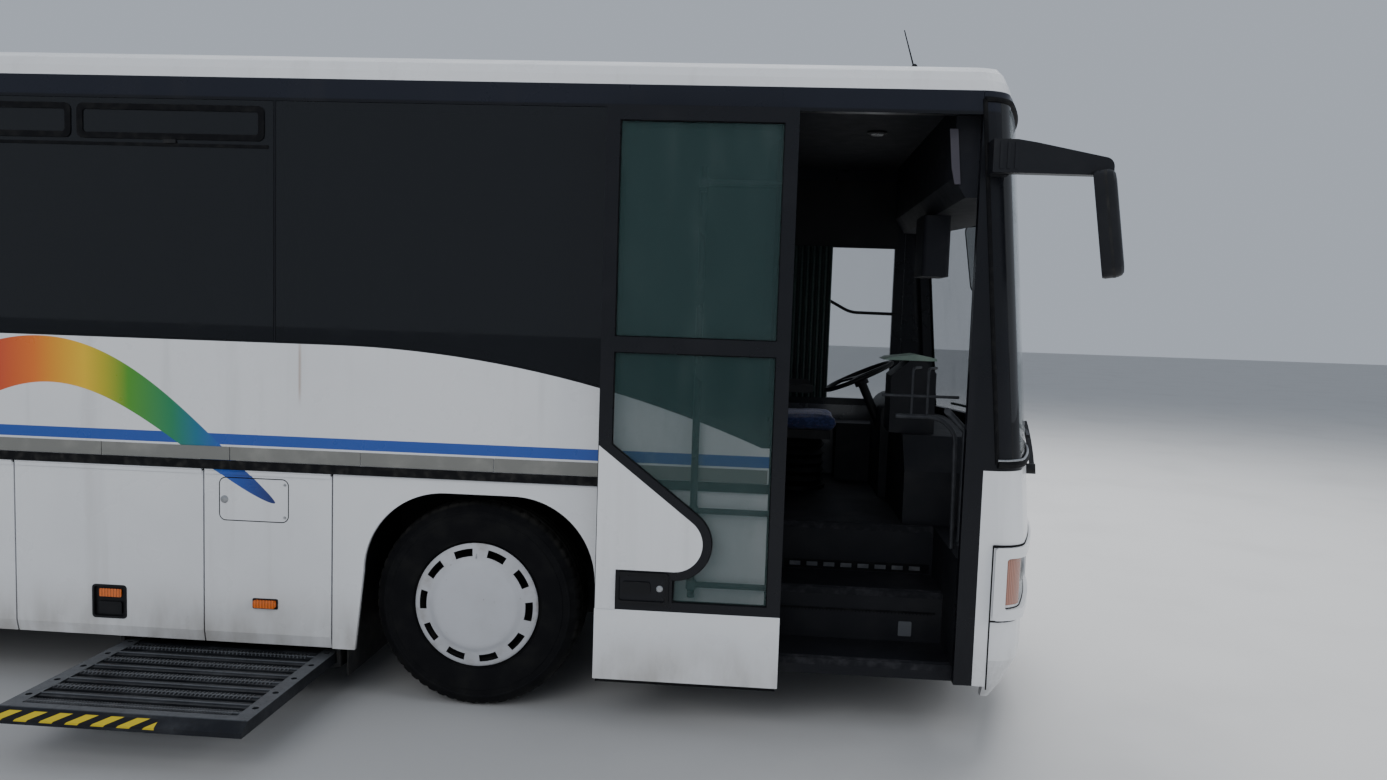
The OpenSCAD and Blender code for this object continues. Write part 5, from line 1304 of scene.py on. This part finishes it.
def tailWrap(y, z, w):
    if abs(y) < tail["meetY"]:
        return (tail["bigX"] - sqrt((tail["big"] + w) ** 2 - y * y), y, z)
    return (tail["cornerX"] - sqrt((tail["corner"] + w) ** 2 - (abs(y) - tail["cornerY"]) ** 2), y, z)


rearSeal = Shape()
wrappedRing(rearSeal, tailWrap, around(0, tail["paneY"]), tail["paneZ"], 0.05, 0.03, (-0.003, 0.006), 0.002)
makePiece("rearSeal", rearSeal, sealRubber, "vehicle")
lampFrames = Shape()
for side in (1, -1):
    span = sorted(side * y for y in tail["lampY"])
    wrappedRing(lampFrames, tailWrap, span, tail["lampZ"], 0.014, 0.012, (0.0003, 0.0075), 0.0015)
    for z in tail["bars"]:
        bar = around(z, tail["barHalf"])
        wrappedPlate(lampFrames, tailWrap, inset(span, 0.008), bar, (0.0008, 0.0065), 8)
makePiece("rearLampFrames", lampFrames, trimPlastic, "vehicle")

# Slats behind the engine lid's louvres, and the lid's grip
rearLook = dict(slotZ=0.71, pitch=0.082, rows=7, spans=((-0.7, -0.02), (0.02, 0.7)),
                slat=[(-9.33, -0.02), (-9.327, -0.023), (-9.296, 0.018), (-9.299, 0.021)],
                gripX=(-9.3695, -9.355), gripY=(-0.09, 0.09), gripZ=(0.622, 0.642))
slats = Shape()
for row in range(rearLook["rows"]):
    z = rearLook["slotZ"] + row * rearLook["pitch"]
    for span in rearLook["spans"]:
        slats.prism([(x, z + rise) for x, rise in rearLook["slat"]], *span, "y", 0.0008)
slats.box(rearLook["gripX"], rearLook["gripY"], rearLook["gripZ"], 0.004)
makePiece("lidSlats", slats, trimPlastic, "engine_lid")

# Lift: cross ribs on every other plank, closer and slanting on the outermost one
liftLook = dict(rib=0.005, reach=0.026, z=(0.229, 0.2402), y=(-2.0297, -1.235), planks=9, plank=0.062,
                x=(-1.705, -0.775), pitch=0.019, outerPitch=0.7, lean=0.012, topWide=0.75, topLong=0.85)


def liftRib(shape, x, middle, lean):
    look = liftLook
    half, reach = look["rib"] / 2, look["reach"]
    foot = [(x - half - lean, middle - reach), (x + half - lean, middle - reach),
            (x + half + lean, middle + reach), (x - half + lean, middle + reach)]
    top = [(x + (u - x) * look["topWide"], middle + (v - middle) * look["topLong"]) for u, v in foot]
    shape.solid([(u, v, z) for loop, z in zip((foot, top), look["z"]) for u, v in loop],
                [[0, 1, 2, 3], [7, 6, 5, 4], [0, 4, 5, 1], [1, 5, 6, 2], [2, 6, 7, 3], [3, 7, 4, 0]])


ribs = Shape()
for i in range(0, liftLook["planks"], 2):
    step = (liftLook["y"][1] - liftLook["y"][0]) / liftLook["planks"]
    middle = liftLook["y"][0] + i * step + liftLook["plank"] / 2
    pitch = liftLook["pitch"] * (liftLook["outerPitch"] if i == 0 else 1)
    for k in range(int((liftLook["x"][1] - liftLook["x"][0]) / pitch)):
        liftRib(ribs, liftLook["x"][0] + k * pitch, middle, liftLook["lean"] if i == 0 else 0)
makePiece("liftRibs", ribs, brightSteel, "lift_platform")
print("stage: rear and lift")


# Seats: foam pads swollen by a cloth simulation, on hard backs, legs and rails
padLook = dict(pressure=4.0, frames=20, width=0.405, driverWidth=(0.47, 0.46), voxels=(0.019, 0.023),
               driverVoxels=(0.0095, 0.0105), cap=0.014, driverCap=0.02, seamWide=0.011, topZ=0.44,
               frontX=-0.02, frontZ=0.4, frontLean=-0.175,
               cushion=[(0.02, 0.4), (0.425, 0.402), (0.448, 0.43), (0.436, 0.468), (0.3, 0.474),
                        (0.02, 0.463)],
               back=[(0.0, 0.405), (0.003, 0.45), (-0.058, 0.99), (-0.07, 1.075), (-0.1, 1.118),
                     (-0.135, 1.11), (-0.145, 1.06), (-0.09, 0.6), (-0.07, 0.405)])


def sewn(point, onCushion, seams):
    # The point drawn in near each seam, on a cushion's top or on the leaning front of a back
    look = padLook
    for axis, place, depth in seams:
        away = (point.y if axis == "y" else point.z) - place
        pull = depth * exp(-(away / look["seamWide"]) ** 2)
        if onCushion:
            point = point - Vector((0, 0, pull if point.z > look["topZ"] else 0))
        else:
            front = look["frontX"] + look["frontLean"] * (point.z - look["frontZ"])
            point = point - Vector((pull if point.x > front else 0, 0, 0))
    return point


def puffed(outline, width, voxel, cap, seams=()):
    # Points and faces of a pad about y = 0; outline is its side view, seams are lines sewn in afterwards
    start = Shape()
    start.prism(outline, -width / 2, width / 2, "y", 0.012)
    bmesh.ops.recalc_face_normals(start.mesh, faces=start.mesh.faces[:])
    mesh = bpy.data.meshes.new("pad")
    start.mesh.to_mesh(mesh)
    start.mesh.free()
    pad = bpy.data.objects.new("pad", mesh)
    bpy.context.scene.collection.objects.link(pad)
    remesh = pad.modifiers.new("voxels", "REMESH")
    remesh.mode, remesh.voxel_size = "VOXEL", voxel
    bpy.context.view_layer.update()
    pad.data = bpy.data.meshes.new_from_object(pad.evaluated_get(bpy.context.evaluated_depsgraph_get()))
    pad.modifiers.clear()
    before = [v.co.copy() for v in pad.data.vertices]
    after = before
    cloth = pad.modifiers.new("cloth", "CLOTH")
    cloth.settings.use_pressure = True
    cloth.settings.uniform_pressure_force = padLook["pressure"]
    cloth.settings.effector_weights.gravity = 0.0
    for number in range(1, padLook["frames"] + 1):
        bpy.context.scene.frame_set(number)
    swollen = pad.evaluated_get(bpy.context.evaluated_depsgraph_get()).data
    after = [v.co.copy() for v in swollen.vertices]
    bpy.context.scene.frame_set(1)
    points = []
    for old, new in zip(before, after):
        move = new - old
        if move.length > cap:
            move *= cap / move.length
        points.append(sewn(old + move, outline is padLook["cushion"], seams))
    faces = [list(polygon.vertices) for polygon in pad.data.polygons]
    bpy.data.objects.remove(pad)
    return points, faces


def makePads(name, pad, places, stands):
    shape = Shape()
    points, faces = pad
    for place in places:
        shape.solid([p + Vector(place) for p in points], faces)
    makePiece(name, shape, busCloth, "vehicle", [stands], 60)


seatLook = dict(pitch=0.78, podium=0.22, y=0.755, half=0.22, shellHalf=0.205,
                shell=[(-0.072, 0.42), (-0.092, 0.6), (-0.15, 1.06), (-0.158, 1.08), (-0.172, 1.07),
                       (-0.112, 0.6), (-0.09, 0.4)],
                panX=(-0.06, 0.43), panHalf=0.42, panZ=(0.372, 0.392), legs=(0.08, 0.33), legTop=0.375,
                legRadius=0.016, aisle=0.4, shoeX=(0.04, 0.37), armX=(-0.03, 0.3),
                armZ=(0.6, 0.645), arm=0.435)
rowStarts = dict(left=[(0.25, 11)], right=[(0.56, 6), (bus["midDoorRear"] - 0.56, 3)])
doubles = [(start - seatLook["pitch"] * i, side * seatLook["y"], bus["floor"] + seatLook["podium"])
           for side, word in bothSides for start, count in rowStarts[word] for i in range(count)]
places = [(x, y + s, z) for x, y, z in doubles for s in around(0, seatLook["half"])]
for name, part, voxel in (("passengerCushions", "cushion", padLook["voxels"][0]),
                          ("passengerBacks", "back", padLook["voxels"][1])):
    pad = puffed(padLook[part], padLook["width"], voxel, padLook["cap"])
    makePads(name, pad, places, "passenger_seats")


def seatFrame(shape, x, y, z):
    look = seatLook
    inward = -1 if y > 0 else 1
    for s in around(y, look["half"]):
        shape.prism([(x + u, z + v) for u, v in look["shell"]], *around(s, look["shellHalf"]), "y", 0.004)
    shape.box([x + u for u in look["panX"]], around(y, look["panHalf"]), [z + v for v in look["panZ"]], 0.004)
    aisle = y + inward * look["aisle"]
    for leg in look["legs"]:
        legEnds = [(x + leg, aisle, z + look["legTop"]), (x + leg - 0.01, aisle, z + 0.003)]
        shape.pipe(legEnds, look["legRadius"])
    shape.box([x + u for u in look["shoeX"]], around(aisle, 0.03), (z + 0.0005, z + 0.012), 0.002)
    inner = y + inward * look["arm"]
    arm = roundedRect([x + u for u in look["armX"]], [z + v for v in look["armZ"]], 0.02)
    shape.prism(arm, inner - 0.012, inner + 0.022, "y", 0.006)


frames = Shape()
for place in doubles:
    seatFrame(frames, *place)
makePiece("seatFrames", frames, tubeGrey, "vehicle")

driverLook = dict(at=(1.38, 0.65, bus["floor"]), seams=[("y", -0.1, 0.008), ("y", 0.1, 0.008)],
                  backSeams=[("z", 0.93, 0.012)], baseX=0.19, baseRadius=0.2, bellows=11,
                  panX=(-0.02, 0.4), panHalf=0.22, panZ=(0.336, 0.392), shellHalf=0.225,
                  armX=(-0.05, 0.28), armZ=(0.63, 0.68), armY=0.245, armWide=1.16,
                  shell=[(-0.075, 0.4), (-0.1, 0.6), (-0.152, 1.06), (-0.16, 1.075), (-0.176, 1.06),
                         (-0.12, 0.6), (-0.1, 0.38)])
cushionWidth, backWidth = padLook["driverWidth"]
cushionVoxel, backVoxel = padLook["driverVoxels"]
pad = puffed(padLook["cushion"], cushionWidth, cushionVoxel, padLook["driverCap"], driverLook["seams"])
makePads("driverCushion", pad, [driverLook["at"]], "driver_seat")
backSeams = driverLook["seams"] + driverLook["backSeams"]
pad = puffed(padLook["back"], backWidth, backVoxel, padLook["driverCap"], backSeams)
makePads("driverBack", pad, [driverLook["at"]], "driver_seat")


def driverFrame(shape):
    look = driverLook
    x, y, z = look["at"]
    r = look["baseRadius"]
    bellows = [(0.19 if k % 2 else 0.165, 0.03 + 0.028 * k) for k in range(look["bellows"])]
    stand = [(0, 0.001), (r, 0.001), (r, 0.025)] + bellows + [(r, 0.335), (0, 0.335)]
    shape.turned(stand, (x + look["baseX"], y, z), "z", 36)
    shape.box([x + u for u in look["panX"]], around(y, look["panHalf"]), [z + v for v in look["panZ"]], 0.012)
    shape.prism([(x + u, z + v) for u, v in look["shell"]], *around(y, look["shellHalf"]), "y", 0.01)
    arm = roundedRect([x + u for u in look["armX"]], [z + v for v in look["armZ"]], 0.022)
    for s in around(0, look["armY"]):
        shape.prism(arm, *sorted((y + s, y + s * look["armWide"])), "y", 0.01)


base = Shape()
driverFrame(base)
makePiece("driverSeatFrame", base, trimPlastic, "vehicle")
print("stage: seats")

# Curtains: gathered cloth beside the driver and at two posts of each side
curtainLook = dict(folds=7, foldSteps=10, depth=0.018, drop=24, pinch=0.55, posts=(-0.995, -2.965), half=0.16,
                   y=1.2035, z=(1.8, 2.6), driverX=(1.5, 1.79), driverY=1.17, driverZ=(1.4, 2.45))


def curtain(name, x, y, z, cloth):
    # Folds are shallower at the top, where the cloth is gathered
    look = curtainLook
    steps = look["folds"] * look["foldSteps"]
    across = [(x[0] + (x[1] - x[0]) * i / steps, look["depth"] * sin(2 * pi * look["folds"] * i / steps))
              for i in range(steps + 1)]
    rows = []
    for j in range(look["drop"] + 1):
        t = j / look["drop"]
        pinch = look["pinch"] + (1 - look["pinch"]) * t
        rows.append([(u, y + v * pinch, z[1] + (z[0] - z[1]) * t) for u, v in across])
    shape = Shape()
    shape.sheet(rows)
    piece = makePiece(name, shape, cloth, "vehicle", (), 70)


driverCloth = seatCloth("driverCurtain", (0.006, 0.02, 0.017), (0.01, 0.03, 0.025), (0.01, 0.03, 0.025))
windowCloth = seatCloth("windowCurtain", (0.05, 0.055, 0.07), (0.09, 0.095, 0.11), (0.09, 0.095, 0.11))
curtain("curtainDriver", curtainLook["driverX"], curtainLook["driverY"], curtainLook["driverZ"], driverCloth)
for side, word in bothSides:
    for k, middle in enumerate(curtainLook["posts"]):
        x, y = around(middle, curtainLook["half"]), side * curtainLook["y"]
        curtain("curtain" + word.title() + str(k), x, y, curtainLook["z"], windowCloth)
print("stage: curtains")

bpy.context.view_layer.update()
